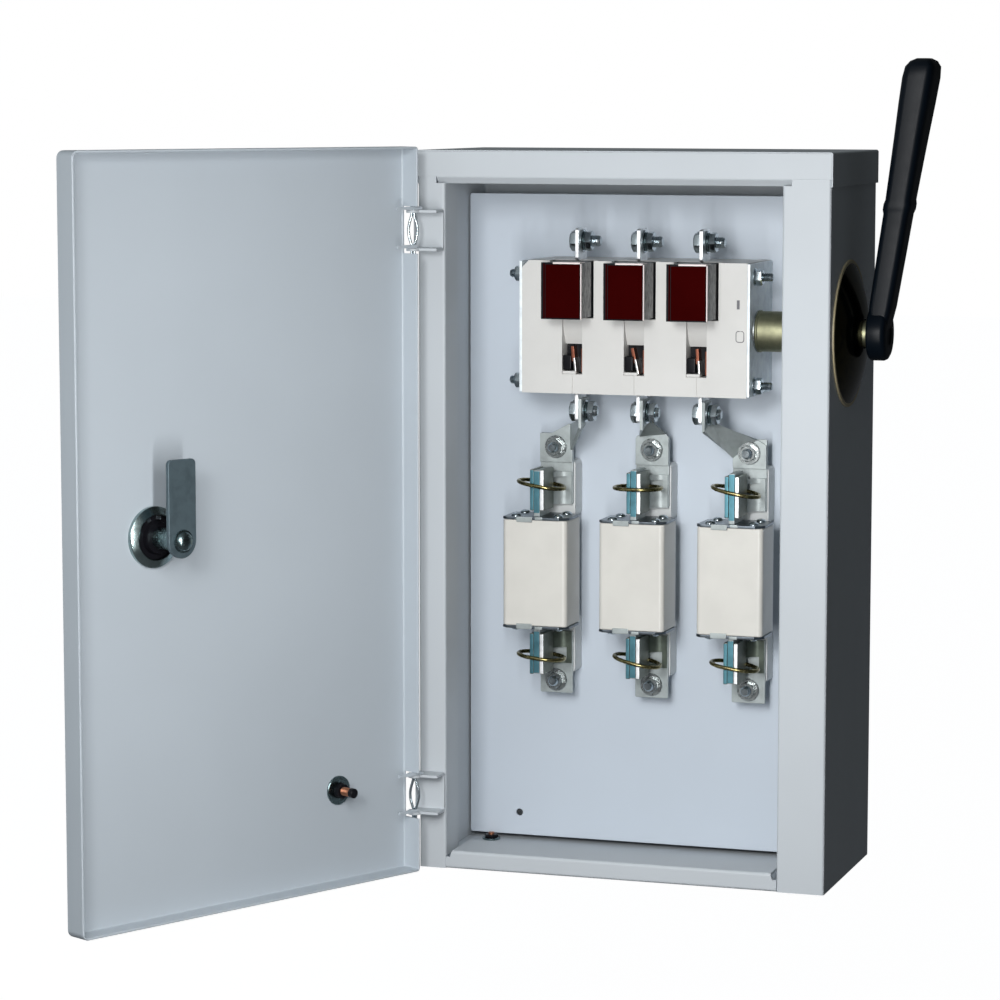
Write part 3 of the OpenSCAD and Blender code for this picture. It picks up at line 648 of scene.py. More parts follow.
class SWITCHBOX_OT_stage(bpy.types.Operator):
    """Camera, lamps, surroundings and floor"""

    bl_idname = "switchbox.stage"
    bl_label = "Stage"

    def execute(self, context):
        scene = context.scene
        scene.view_settings.view_transform = "Standard"
        build_camera(scene)
        build_lamps()
        build_surroundings(scene)
        build_floor()
        return {"FINISHED"}


# Name of the material, its colour or colours, its roughness and how metallic it is
PLATINGS = {
    "zinc": ("zinc_plating", (0.52, 0.58, 0.61), 0.2),
    # Near-white, barely metallic zinc on the switch's side plates: painted reflection of the pale sheets
    # around them
    "zinc_painted_reflection": ("zinc_sheet", (0.84, 0.91, 0.95), 0.42, 0.1),
    "silver": ("silver_plating", (0.70, 0.70, 0.68), 0.3),
    # Bright silver: the terminal blades' own plating; on the right prongs' fronts it is a painted highlight
    "bright": ("bright_edges", (0.92, 0.94, 0.95), 0.45),
    "pale_metal": ("tin_plating", (0.38, 0.42, 0.42), 0.45, 0.45),
    # Dark tin on the prongs: painted shade
    "shaded_metal": ("dull_tin", (0.16, 0.18, 0.16), 0.4, 0.6),
    # Dark olive tin on the lower webs: painted shade
    "olive_tin": ("olive_tin", (0.09, 0.11, 0.09), 0.4, 0.6),
    "nickel": ("nickel_plating", (0.45, 0.48, 0.48), 0.25),
    # Teal tint on plated contacts: painted reflection
    "teal_painted_reflection": ("blued_edges", (0.10, 0.24, 0.29), 0.4),
    "steel": ("dark_steel", (0.20, 0.23, 0.26), 0.3),
    # Darker copy of the zinc on washers, bolts and the latch spindle: painted dark reflection
    "painted_dark_reflection": ("dark_zinc", (0.20, 0.27, 0.28), 0.24),
    # Teal-grey tint of the latch ring: painted reflection
    "ring_steel": ("blued_ring", (0.30, 0.38, 0.38), 0.2),
    "slate": ("slate_steel", (0.10, 0.14, 0.16), 0.45, 0.5),
    "yellow": (
        "yellow_zinc", ((0.12, 0.11, 0.04), (0.22, 0.19, 0.08), (0.30, 0.25, 0.12), (0.14, 0.14, 0.07)), 0.24
    ),
    "olive": ("olive_zinc", ((0.20, 0.20, 0.13), (0.25, 0.25, 0.16), (0.30, 0.30, 0.20)), 0.45),
    # Near-black with faint olive patches on the cover's yellow zinc: painted reflection
    "mirror": ("mirror_zinc", ((0.012, 0.011, 0.006), (0.05, 0.042, 0.014), (0.02, 0.02, 0.01)), 0.11),
    "copper": ("copper", (0.55, 0.24, 0.14), 0.35),
    "dull_copper": ("dull_copper", (0.22, 0.08, 0.05), 0.4),
}
# Name of the material, its colour, its roughness, its speckle and its shine
MOULDINGS = {
    # Gold rim of the round cover: painted highlight
    "gilt_painted_highlight": ("rim_painted_highlight", (0.42, 0.36, 0.22), 0.3),
    "mark": ("grey_mark", (0.12, 0.12, 0.13)),
    "edging": ("pale_edging", (0.82, 0.72, 0.70)),
    "post": ("grey_moulding", (0.62, 0.64, 0.64)),
    "black": ("black_nylon", (0.006, 0.006, 0.008), 0.3, 0.1, 0.15),
}


class SWITCHBOX_OT_finishes(bpy.types.Operator):
    """Paints, platings and mouldings of all pieces"""

    bl_idname = "switchbox.finishes"
    bl_label = "Finishes"

    def execute(self, context):
        scene = context.scene
        cabinet, switch = scene.box_cabinet, scene.box_switch
        FINISH.update({key: plating(*values) for key, values in PLATINGS.items()})
        FINISH.update({key: moulding(*values) for key, values in MOULDINGS.items()})
        FINISH.update(
            paint=paint("cabinet_paint", tuple(cabinet.paint)),
            # Plate paint lighter than the cabinet's: painted light
            plate=paint("plate_paint", tuple(cabinet.plate)),
            # Door paint darker than the cabinet's: painted shade
            door=paint("door_paint", tuple(cabinet.door)),
            housing=moulding("white_moulding", tuple(switch.housing)),
            chute=moulding("maroon_moulding", tuple(switch.chute), 0.35, 0.1, 0.0),
            fibre=fibre("fibre_board", (0.36, 0.36, 0.36)),
            ceramic=ceramic("ceramic", tuple(scene.box_fuses.ceramic)),
            lever=moulding("black_moulding", tuple(scene.box_handle.lever), 0.34, 0.1, 0.1),
        )
        return {"FINISHED"}


# -------------------- cabinet


LEFT, RIGHT = BOX["frame_left"], BOX["frame_right"]
SHEET = BOX["back_wall"][1].y - BOX["back_wall"][0].y
HALF = SHEET / 2
FRONT = LEFT[0].y + HALF
OPENING = LEFT[1].x, RIGHT[0].x
LIP = 4.2
OPEN_TOP = BOX["frame_top"][0].z + LIP
OPEN_BOTTOM = BOX["frame_bottom"][1].z
# Half of the width and of the height between the wall holes
HOLES_X, HOLES_Z = 105.0, 229.0
# A plane in front of the box, from which the tools that cut its sheets start
AHEAD = FRONT - 5


def build_shell():
    """Back, sides, front strips and flanges, folded from one sheet."""
    low, high = LEFT[0].x + HALF, RIGHT[1].x - HALF
    flange = LEFT[1].y
    left_edge, right_edge = OPENING[0] - HALF, OPENING[1] + HALF
    path = (
        (left_edge, flange), (left_edge, FRONT), (low, FRONT), (low, -HALF),
        (high, -HALF), (high, FRONT), (right_edge, FRONT), (right_edge, flange)
    )
    wrap = Shape()
    bottom, top = LEFT[0].z, BOX["frame_top"][1].z + 0.5
    wrap.prism(bent_sheet(path, SHEET, (1.0, 1.0, 3.2, 3.2, 1.0, 1.0)), bottom, top)
    tool = Shape()
    over, gap, foot = 6.3, 0.3, 4.0
    for side, edge in zip((-1, 1), OPENING):
        x0, x1 = span(edge + side * over, edge - side * 2)
        tool.block((x0, AHEAD, OPEN_TOP - LIP - gap), (x1, flange + 1, top + 1), 0)
        x0, x1 = span(edge - side, edge + side * 2)
        tool.block((x0, FRONT + HALF, bottom - 1), (x1, flange + 1, OPEN_BOTTOM - foot), 0)
    room = Shape()
    room.block((LEFT[0].x - 1, AHEAD, OPEN_TOP), (RIGHT[1].x + 1, FRONT + HALF, top + 1), 0)
    slot_low, slot_high, slot_depth = -12.2, 52.1, 13.0
    room.block(
        (OPENING[1] - 1, FRONT + HALF, slot_low), (OPENING[1] + 3, FRONT + HALF + slot_depth, slot_high), 0
    )
    holes = Shape()
    hole, shaft, through = 3.5, 9.1, 3
    for x in (-HOLES_X, HOLES_X):
        for z in (-HOLES_Z, HOLES_Z):
            holes.rod(hole, -through, through, (x, 0, z), "y")
    holes.rod(shaft, -through, through, (high, *DRIVE), "x")
    wrap.cut(tool, room, holes)
    wrap.finish(
        "cabinet_shell", "box_paint", ("paint",),
        ("back_wall", "left_wall", "right_wall", "frame_left", "frame_right"), edge=0.12
    )


def build_top():
    """Top strip with its slanted lip, and the cap folded over the sides."""
    strip = Shape()
    width, roof = BOX["frame_top"][1].x, BOX["frame_top"][1].z + 0.5
    path = ((FRONT, roof), (FRONT, OPEN_TOP), (FRONT + LIP, OPEN_TOP - LIP))
    strip.prism(bent_sheet(path, SHEET, (1.4,)), -width, width, "x")
    tool = Shape()
    over, below, behind = 6.0, OPEN_TOP - 9, -100
    for side, edge in zip((-1, 1), OPENING):
        x0, x1 = span(side * (width + 1), edge + side * over)
        tool.block((x0, AHEAD, below), (x1, behind, OPEN_TOP), 0)
    strip.cut(tool)
    strip.finish("frame_top_strip", "box_paint", ("paint",), ("frame_top",), edge=0.12)
    cap = Shape()
    low, high = BOX["top_cap"]
    thick = 1.0
    x, z = high.x - thick / 2, high.z - thick / 2
    cap.prism(bent_sheet(((low.z, -x), (z, -x), (z, x), (low.z, x)), thick, (1.0, 1.0)), low.y, high.y, "y")
    cap.finish("folded_cap", "box_paint", ("paint",), ("top_cap",), edge=0.3)


def build_bottom():
    """Bottom sheet, bottom strip and sill, folded from one sheet."""
    sill = Shape()
    low, high = BOX["bottom_wall"]
    sill_y, level = BOX["frame_bottom"][1].y, OPEN_BOTTOM - HALF
    floor = low.z + HALF
    path = ((sill_y, level), (FRONT, level), (FRONT, floor), (-SHEET, floor))
    sill.prism(bent_sheet(path, SHEET, (1.4, 1.4)), low.x, high.x, "x")
    ends, strip_ends, notch = Shape(), Shape(), Shape()
    reach, slope = 4.5, 1.5
    top, root = OPEN_BOTTOM + 1, OPEN_BOTTOM - reach
    for side, edge in zip((-1, 1), OPENING):
        x0, x1 = span(edge, side * (high.x + 1))
        ends.block((x0, AHEAD, floor + HALF + 0.1), (x1, sill_y + 1, level + 2), 0)
        strip_ends.block((x0, AHEAD, floor - 2), (x1, FRONT + HALF, level + 2), 0)
        corners = ((top, -reach), (top, reach), (root, reach - slope), (root, slope - reach))
        notch.prism([(z, edge + x) for z, x in corners], AHEAD, sill_y + 1, "y")
    sill.cut(ends, strip_ends, notch)
    sill.finish("bottom_sheet", "box_paint", ("paint",), ("bottom_wall", "frame_bottom"), edge=0.12)


def build_plate():
    """Mounting plate with its access holes."""
    low, high = BOX["mounting_plate"]
    sheet = Shape()
    sheet.prism(rounded((low.z, low.x), (high.z, high.x), 1.5), low.y, high.y, "y")
    holes = Shape()
    radius, through = 2.5, 5
    for x in (-HOLES_X, HOLES_X):
        holes.rod(radius, -through, through, (x, low.y, -HOLES_Z), "y")
    sheet.cut(holes)
    sheet.finish("device_plate", "plate_paint", ("plate",), ("mounting_plate",), edge=0.4)


class SWITCHBOX_OT_cabinet(bpy.types.Operator):
    """Folded sheets of the cabinet and its mounting plate"""

    bl_idname = "switchbox.cabinet"
    bl_label = "Cabinet"

    def execute(self, context):
        build_shell()
        build_top()
        build_bottom()
        build_plate()
        return {"FINISHED"}


# -------------------- door


def build_tray():
    """Panel with rims all round, cut away around the hinges."""
    low, high = BOX["door_panel"][0].z, BOX["door_panel"][1].z
    hinge_edge, free_edge, outside = 3.0, 294.5, -7.0
    hinge_tip, free_tip = 9.0, 9.5
    free_r, hinge_r = 5.0, 2.4
    corners = (
        (free_edge - free_r, high - free_r, free_r), (hinge_edge + hinge_r, high - hinge_r, hinge_r),
        (hinge_edge + hinge_r, low + hinge_r, hinge_r), (free_edge - free_r, low + free_r, free_r)
    )
    outline, steps, blend = [], 6, 0.4
    for quarter, (u, z, radius) in enumerate(corners):
        for i in range(steps + 1):
            angle = pi / 2 * (quarter + i / steps)
            out = Vector((cos(angle), sin(angle)))
            # From 0 on the hinge side to 1 on the free side
            share = min(1.0, max(0.0, (out.x - blend) / blend))
            outline.append((Vector((u, z)) + out * radius, out, hinge_tip + (free_tip - hinge_tip) * share))
    # Distance in from the outline, height, and whether the height counts from the rim's tip
    levels = (
        (1.4, outside, 0), (0.45, outside + 0.15, 0), (0.1, outside + 0.5, 0), (0.0, outside + 1.4, 0),
        (0.0, -0.35, 1), (0.35, 0.0, 1), (1.15, 0.0, 1), (1.5, -0.35, 1),
        (1.5, -4.4, 0), (1.7, -5.0, 0), (2.3, -5.5, 0)
    )
    rings = [
        [(p.x - n.x * inset, height + tip * on_tip, p.y - n.y * inset) for p, n, tip in outline]
        for inset, height, on_tip in levels
    ]
    sheet = Shape(DOOR)
    sheet.loft(rings)
    tool = Shape(DOOR)
    below, above = 15.5, 16.6
    for z in (-HINGE_Z, HINGE_Z):
        tool.block(
            (hinge_edge - 1, outside + 1.5, z - below), (hinge_edge + 1.6, hinge_tip + 1, z + above), 0
        )
    sheet.cut(tool)
    sheet.finish(
        "door_tray", "door_paint", ("door",),
        ("door_panel", "door_end_rims", "door_side_rims"), "door", angle=25
    )


def build_hinges():
    """Brackets folded from strip, with rounded ears around the pins."""
    ear, thick, reach, height = 4.5, 2.0, 17.0, 28.0
    at_pin = Matrix.Translation(PIN)
    around = arc(ear, 0, -180, 16)
    fixed, tool = Shape(at_pin), Shape(at_pin)
    back, wide, tall = 16.0 - thick / 2, 9, 240
    for z in (-HINGE_Z, HINGE_Z):
        low, high = z - height / 2 + thick / 2, z + height / 2 - thick / 2
        strip = bent_sheet(((-ear, low), (back, low), (back, high), (-ear, high)), thick, (1.5, 1.5))
        fixed.prism(strip, -ear, reach, "x")
    around_low = [(-wide, -wide), (reach + 1, -wide), (reach + 1, 0)]
    tool.prism(around_low + around + [(-wide, 0)], -tall, tall)
    fixed.cut(tool)
    fixed.finish("frame_hinge_brackets", "box_paint", ("paint",), ("cabinet_hinge_brackets",), edge=0.35)
    moving, tool = Shape(DOOR), Shape(DOOR)
    lift, web, end = 2.3, 6.0, 18.0
    for z in (-HINGE_Z + lift, HINGE_Z + lift):
        low, high = z - height / 2 + thick / 2, z + height / 2 - thick / 2
        strip = bent_sheet(((ear, low), (-ear, low), (-ear, high), (ear, high)), thick, (1.4, 1.4))
        moving.prism(strip, -ear, end, "x")
        tool.block((-wide, -wide, low + 2.5), (web, wide, high - 2.5), 0)
    over = [(-wide, -wide), (-wide, wide), (end + 1, wide), (end + 1, 3.2), (ear + 6, 3.2)]
    tool.prism(over + [(x, -y) for x, y in around if y <= 0.1] + [(-ear, -wide)], -tall, tall)
    moving.cut(tool)
    moving.finish(
        "leaf_hinge_brackets", "door_paint", ("door",), ("door_hinge_brackets",), "door", edge=0.35
    )


def build_pins():
    """Split pins, each of two bowed wires that meet in an oval eye."""
    pins = Shape()
    wire, close = 0.95, 0.95
    eye_low, eye_z, eye_half, eye_tall = 18.5, 23.5, 1.8, 4.2
    for side in (-1, 1):
        local = Matrix.Translation(PIN + Vector((0, 0, side * HINGE_Z))) @ Matrix.Diagonal((1, 1, side, 1))
        for leg, bow, tail in ((-1, 3.1, 24.0), (1, 3.4, 19.0)):
            x = leg * close
            path = [(x + 0.12 * (tail - 14), 0, -tail), (x, 0, -13.5), (x, 0, -10)]
            path += [
                (leg * (close + (bow - close) * sin(pi * i / 10) ** 0.8), 0, -9 + 18 * i / 10)
                for i in range(1, 10)
            ]
            path += [(x, 0, 10), (x, 0, eye_low)]
            path += [
                (leg * eye_half * sin(a), 0, eye_z - eye_tall * cos(a))
                for a in (pi * i / 10 for i in range(2, 11))
            ]
            pins.tube(path, wire, local=local)
    pins.finish("split_pins", "zinc_steel", ("zinc",), ("hinge_pins",))


def build_latch():
    """Quarter-turn latch: clamping ring, spindle, cam and its bolt."""
    at = (LATCH_U, 0, LATCH_Z)
    outer, inner, bore, panel, deep = 20.0, 14.6, 7.2, -5.5, 5.0
    on_panel = (LATCH_U, panel, LATCH_Z)
    ring = Shape(DOOR)
    ring.lathe((
        (bore, 0), (outer, 0), (outer, 2.6), (outer - 0.5, 3.1), (inner + 0.9, deep),
        (inner + 0.2, deep - 0.1), (inner, deep - 0.5), (inner, 1.4), (bore, 1.4)
    ), on_panel, "y", 64)
    ring.lathe((
        (bore, 1.2), (inner - 0.1, 1.2), (inner - 0.5, 3.6), (11.0, 4.0), (10.2, 7.6), (bore, 8.0)
    ), on_panel, "y", 48, 1)
    # Zinc tabs of a lock nut, put only where the black boss shows bright spots: real tabs and painted
    # highlights both
    for angle in (200, 262, 300):
        spin = Matrix.Translation(on_panel) @ Matrix.Rotation(radians(angle), 4, "Y")
        ring.block((11.6, 3.0, -1.6), (14.2, 4.6, 1.6), 0.3, 2, local=spin)
    ring.lathe((
        (bore, -7.0), (15.0, -7.0), (16.0, -7.6), (16.0, -9.2), (15.2, -10.0), (bore, -10.0)
    ), at, "y", 48, 1)
    ring.finish("latch_clamp", "latch_black", ("ring_steel", "black", "zinc"), ("latch_housing",), "door")
    cam = Shape(DOOR)
    half, reach, corner, near, far = 11.2, 52.5, 3.2, 22.5, 25.5
    outline = arc(corner, 90, 0, 5, (reach - corner, half - corner))
    outline += arc(corner, 0, -90, 5, (reach - corner, corner - half))
    outline += arc(half, -90, -270, 20)
    outline = [(z + LATCH_Z, u + LATCH_U) for z, u in outline]
    cam.prism(outline, near, far, "y", 0, 0.7, 3)
    cam.rod(7.0, -10.0, near + 0.2, at, "y", 32, 1)
    cam.finish("cam_plate", "dark_steel", ("slate", "painted_dark_reflection"), ("latch_cam",), "latch")
    bolt = Shape(DOOR)
    bolt.lathe((
        (0, 0), (7.3, 0), (7.5, 0.4), (7.3, 1.2), (6.3, 1.4), (6.0, 2.6), (4.6, 3.9), (2.4, 4.5), (0, 4.6)
    ), (LATCH_U, far, LATCH_Z), "y", 36)
    bolt.finish("cam_bolt", "zinc_steel", ("painted_dark_reflection",), ("latch_bolt",), "latch")


def build_studs():
    """Earthing stud on the door and earthing bolt on the bottom sheet."""
    stud = Shape(DOOR)
    at = (66, -5.5, -184)
    washer(stud, 10.0, 0, 1.6, at, "y")
    stud.hexagon(10.0, 1.6, 6.1, at, "y", 1)
    stud.thread(3.0, 5.6, 14.5, at, "y", 2)
    stud.lathe(((0, 13.7), (3.3, 13.9), (3.3, 17.1), (2.6, 17.6), (0, 17.6)), at, "y", 24, 1)
    stud.finish("door_stud", "copper", ("painted_dark_reflection", "black", "copper"), ("door_earth_stud",), "door")
    low, high = BOX["cabinet_earth_bolt"]
    floor = BOX["bottom_wall"][1].z
    bolt = Shape()
    at = (*middle((low, high)).xy, floor)
    under, over = low.z - floor, high.z - floor
    washer(bolt, (high.x - low.x) / 2, 0, 1.4, at, "z")
    bolt.hexagon(9.0, 1.4, 3.8, at, "z", 1)
    bolt.lathe(((0, 3.6), (2.2, 3.6), (2.2, over - 0.4), (1.8, over), (0, over)), at, "z", 20, 2)
    bolt.lathe(((0, under), (2.6, under), (3.0, under + 0.4), (3.0, 0), (0, 0)), at, "z", 20)
    bolt.finish("earth_bolt", "copper", ("painted_dark_reflection", "black", "copper"), ("cabinet_earth_bolt",))


class SWITCHBOX_OT_door(bpy.types.Operator):
    """Door tray with its hinges, latch and earthing studs"""

    bl_idname = "switchbox.door"
    bl_label = "Door"

    def execute(self, context):
        build_tray()
        build_hinges()
        build_pins()
        build_latch()
        build_studs()
        return {"FINISHED"}


# -------------------- switch


def build_body():
    """Moulded body with slots for the chutes, sloping grooves, contact windows and generic marks; its black
    liners in the slots and at the back of the windows are painted shadow.
    """
    low, high = BOX["switch_body"]
    bevel = 5.0
    body = Shape()
    body.prism((
        (low.z, low.x), (low.z, high.x), (high.z, high.x), (high.z, low.x + bevel), (high.z - bevel, low.x)
    ), FACE, high.y, "y")
    rooms, details, inner = Shape(), Shape(), Shape()
    deep, clear = FACE + 14, 0.02
    for left, right in POLES.values():
        x, bottom = middle((left, right)).x, left.z
        x0, x1 = x - WINDOW / 2, x + WINDOW / 2
        rooms.block((left.x - 1.7, FACE - 1, bottom - 0.5), (right.x + 0.9, deep, high.z + 1), 0)
        rooms.block((x0, FACE - 1, WINDOW_LOW), (x1, deep, WINDOW_HIGH), 0)
        details.prism((
            (FACE - 1, bottom + 1), (FACE + 1.8, bottom + 1), (FACE + 3.0, bottom - 6),
            (FACE + 5.5, bottom - 13), (FACE + 9.0, bottom - 18.5), (FACE + 10, WINDOW_HIGH - 1),
            (FACE - 1, WINDOW_HIGH - 1)
        ), x0 + clear, x1 - clear, "x")
        details.block((x + 0.1, FACE - 1, low.z - 1), (x + 0.6, FACE + 0.7, WINDOW_LOW + 1), 0)
        # Black liner in the slot around the chute: painted shadow of the gap
        inner.block((left.x - 1.6, FACE + 6, bottom - 0.4), (right.x + 0.8, deep, high.z - 0.3), 0.1, 1)
        # Black back of the window: painted shade
        inner.block((x0, FACE + 12, WINDOW_LOW), (x1, deep, WINDOW_HIGH + 3), 0.1, 1)
        inner.block((x0, FACE + 1.5, WINDOW_LOW + 2.8), (x - 1.2, FACE + 9, WINDOW_LOW + 13), 0.8, 1)
        inner.block((x0, FACE + 0.6, WINDOW_LOW), (x + 2.4, FACE + 8, WINDOW_LOW + 2.2), 0.5, 0)
    body.cut(rooms, details)
    body.take(inner.mesh)
    mark_x, bar_z, ring_z = 72.0, 145.8, 124.0
    body.block((mark_x - 1.2, FACE - 0.06, bar_z - 3.1), (mark_x + 0.8, FACE + 0.6, bar_z + 3.1), 0.05, 2)
    outline = rounded((ring_z - 3.7, mark_x - 1.6), (ring_z + 3.7, mark_x + 3.9), 1.6)
    body.tube([(mx, FACE + 0.5, mz) for mz, mx in outline], 0.6, 2, 8, True)
    body.finish("moulded_body", "white_plastic", ("housing", "black", "mark"), ("switch_body",), edge=0.6)


def build_arc_chute(name):
    """Arc chute: maroon front plate on a fibre box, with dark seams and slots, and a black strip at its
    right side that is painted shadow.
    """
    low, high = BOX[f"arc_chute_{name}"]
    wide, deep, tall = high - low
    back = deep + 6.0
    made = Shape(Matrix.Translation(low))
    made.block((0.7, 2.0, 0.7), (wide - 0.7, back, tall - 0.6), 0.2, 1)
    made.block((0, 0.5, 0), (wide - 0.55, 2.1, tall - 0.2), 0.15, 2)
    made.block((1.7, 0.1, 0.4), (2.8, 1.6, tall - 0.9), 0.2, 0)
    made.block((3.3, 0, 0.9), (wide - 1.3, 1.6, tall - 1.6), 0.35, 0)
    made.block((wide - 0.75, 0, 0.2), (wide, 1.9, tall - 0.8), 0.2, 3)
    made.block((wide / 2 - 6, 0.2, tall - 1.2), (wide - 1, 12, tall), 0.2, 3)
    for place in (0.19, 0.76):
        z, half = tall * place, 2.2
        made.block((wide - 2, 1.9, z - half), (wide - 0.6, 4.6, z + half), 0.1, 2)
    # Black strip where the chute's right side goes into the body: painted shadow of the gap
    made.block((wide - 2, deep - 0.9, 0.5), (wide - 0.5, back, tall - 0.6), 0.1, 2)
    finishes = ("chute", "fibre", "black", "edging")
    made.finish(f"chute_{name}", "chute_fibre", finishes, (f"arc_chute_{name}",))


def build_contacts():
    """Knife contacts in the windows, copper behind silver."""
    made = Shape()
    window_z = (WINDOW_LOW + WINDOW_HIGH) / 2
    for chute, lean in zip(POLES.values(), (6.0, 12.0, 3.0)):
        x = middle(chute).x
        place = Matrix.Translation((x + 1.2, 0, window_z - 3))
        tilt = place @ Matrix.Rotation(radians(-lean), 4, "Y")
        made.block((-0.7, FACE + 1.6, -6.5), (0.7, FACE + 12.5, 4.0), 0.3, 0, local=tilt)
        made.block((-2.6, FACE + 5.0, 1.5), (-0.4, FACE + 12.5, 12.0), 0.3, 1, local=tilt)
        made.block((x + 4.6, FACE + 6.0, WINDOW_LOW + 1), (x + 6.2, FACE + 12.5, WINDOW_HIGH - 3), 0.3, 1)
    made.finish("knife_contacts", "silvered_copper", ("silver", "dull_copper"), ("switch_contacts",))


def build_side_plates():
    """Steel side plates left and right of the body."""
    low, high = BOX["switch_side_plates"]
    thick = 2.0
    made = Shape()
    for x in (low.x, high.x - thick):
        made.block((x, low.y, low.z + 0.6), (x + thick, high.y, high.z - 0.6), 0.35)
    # Near-white finish on the side plates: painted reflection
    made.finish("switch_cheeks", "zinc_steel", ("zinc_painted_reflection",), ("switch_side_plates",))


def build_tie_rods():
    """Nuts, washers and thread ends on both side plates."""
    low, high = BOX["tie_rod_ends"]
    left, right = (corner.x for corner in BOX["switch_side_plates"])
    y, inset, disc, nut = middle((low, high)).y, 5.8, 1.2, 6.2
    flip = Matrix.Scale(-1, 4, (1, 0, 0))
    made = Shape()
    for z in (low.z + inset, high.z - inset):
        at = (0, y, z)
        for start, end, turn, local in ((right, high.x, 0.3, None), (-left, -low.x, 0.1, flip)):
            washer(made, 6.2, start, disc, at, "x", 0, local)
            made.hexagon(10.0, start + disc, start + nut, at, "x", 0, turn, local)
            made.thread(3.0, start + 6.0, end, at, "x", local=local)
    made.finish("tie_rod_nuts", "zinc_steel", ("zinc",), ("tie_rod_ends",))


def build_terminals():
    """Terminal blades and their bolts."""
    half = 1.2
    for name in ("upper", "lower"):
        box = BOX[f"{name}_terminals"]
        blades = Shape()
        for chute in POLES.values():
            x = middle(chute).x
            outline = rounded(box[0].yz, box[1].yz, 2.0)
            blades.prism(outline, x - half, x + half, "x", 0, 0.3)
        blades.finish(f"{name}_blades", "silvered_copper", ("bright",), (f"{name}_terminals",))
    # Height of the bolts, what they clamp besides the blade, and where they end
    stacks = (("upper", BOX["upper_terminals"][0].z + 13, 0.0, 13.4), ("lower", 68.5, 2.0, 9.6))
    made = Shape()
    for chute in POLES.values():
        for name, z, clamped, end in stacks:
            at = (middle(chute).x, middle(BOX[f"{name}_terminals"]).y, z)
            made.hexagon(13.0, -6.6, -half, at, "x", turn=0.25)
            made.rod(4.0, -1.3, 1.4 + clamped, at, "x", 20)
            start = half + clamped
            washer(made, 8.0, start, 1.4, at, "x")
            washer(made, 6.6, start + 1.5, 1.3, at, "x", 1)
            made.hexagon(13.0, start + 2.9, start + 7.4, at, "x", 0, 0.1)
            made.thread(4.0, start + 7.0, start + end, at, "x")
    made.finish("cable_bolts", "zinc_steel", ("zinc", "painted_dark_reflection"), ("terminal_bolts",))


def build_links():
    """Flat plates on the contact feet, folded over to the legs on the lower terminals."""
    made = Shape()
    low, high = BOX["lower_terminals"]
    thick, leg_top, leg_front, leg_back = 2.0, 77.5, low.y + 1.5, high.y - 1.5
    face = FOOT_Y - thick
    # Outline on the foot from the fold's upper end round to its lower end, from the foot's middle
    outlines = (
        ((11.0, 56.9), (8.8, 56.8), (-3.1, 50.1), (-12.0, 49.8), (-12.0, 29.5), (12.0, 29.5),
         (12.0, 38.5), (11.0, 38.5)),
        ((10.2, 52.0), (12.0, 49.5), (12.0, 29.5), (-12.0, 29.5), (-12.0, 48.5), (-9.5, 49.9)),
        ((5.3, 49.8), (12.0, 46.0), (12.0, 29.5), (-12.0, 29.5), (-12.0, 36.7)),
    )
    for chute, fuse, outline in zip(POLES.values(), FUSES.values(), outlines):
        x, foot_x = middle(chute).x + 2.2, middle(fuse).x + FOOT_SHIFT
        made.prism([(z, foot_x + u) for u, z in outline], face, FOOT_Y, "y", 0, 0.3)
        edges = []
        for (u, z), y, fold_z in ((outline[-1], leg_front, 57.0), (outline[0], leg_back, 62.5)):
            path = ((foot_x + u, face + thick / 2, z), (x, y, fold_z), (x, y, leg_top))
            edges.append([Vector(p) for p in path])
        made.ribbon(*edges, thick)
    made.finish("folded_links", "silvered_copper", ("pale_metal",), ("bus_links",), angle=25)


class SWITCHBOX_OT_switch(bpy.types.Operator):
    """Switch disconnector with its arc chutes, terminals and links"""

    bl_idname = "switchbox.switch"
    bl_label = "Switch"

    def execute(self, context):
        build_body()
        for name in ("left", "middle", "right"):
            build_arc_chute(name)
        build_contacts()
        build_side_plates()
        build_tie_rods()
        build_terminals()
        build_links()
        return {"FINISHED"}


# -------------------- fuses


def fuse_ends():
    """Each end of each fuse: its middle, its sign and a frame whose Z runs outwards."""
    for box in FUSES.values():
        centre = middle(box)
        for sign in (1, -1):
            yield centre, sign, Matrix.Translation(centre) @ Matrix.Diagonal((1, 1, sign, 1))


def build_end_plates():
    """Steel end plates with cut corners, domed rivets and folded tabs."""
    made = Shape()
    low, high = FUSES["left"]
    size = (high - low) / 2
    base, thick, out = size.z, 1.9, 0.5
    x, y, cut = size.x + out, size.y + out, 6.0
    rivet = ((3.6, -0.2), (3.5, 0.6), (2.7, 1.5), (1.4, 2.0), (0, 2.2))
    outline = (
        (-x + cut * 0.6, -y), (x - cut, -y), (x, -y + cut), (x, y - cut),
        (x - cut, y), (-x + cut, y), (-x, y - cut), (-x, -y + cut * 0.6)
    )
    for *_, local in fuse_ends():
        made.prism(outline, base, base + thick, "z", 0, 0.35, local=local)
        for x0, x1, y0, z0, z1 in ((11, 22.5, 0.7, -1.6, 2.2), (24.5, 30, 0.5, 0.2, 2.4)):
            made.block((x0 - x, -y - y0, base + z0), (x1 - x, 0.6 - y, base + z1), 0.4, 1, local)
        for share_x in (-0.66, 0.66):
            for share_y in (-0.6, 0.6):
                at = (share_x * size.x, share_y * size.y, base + thick)
                made.lathe(rivet, at, "z", 20, 2, local)
    made.finish("cap_plates", "dark_steel", ("steel", "pale_metal", "zinc"), ("fuse_end_plates",))


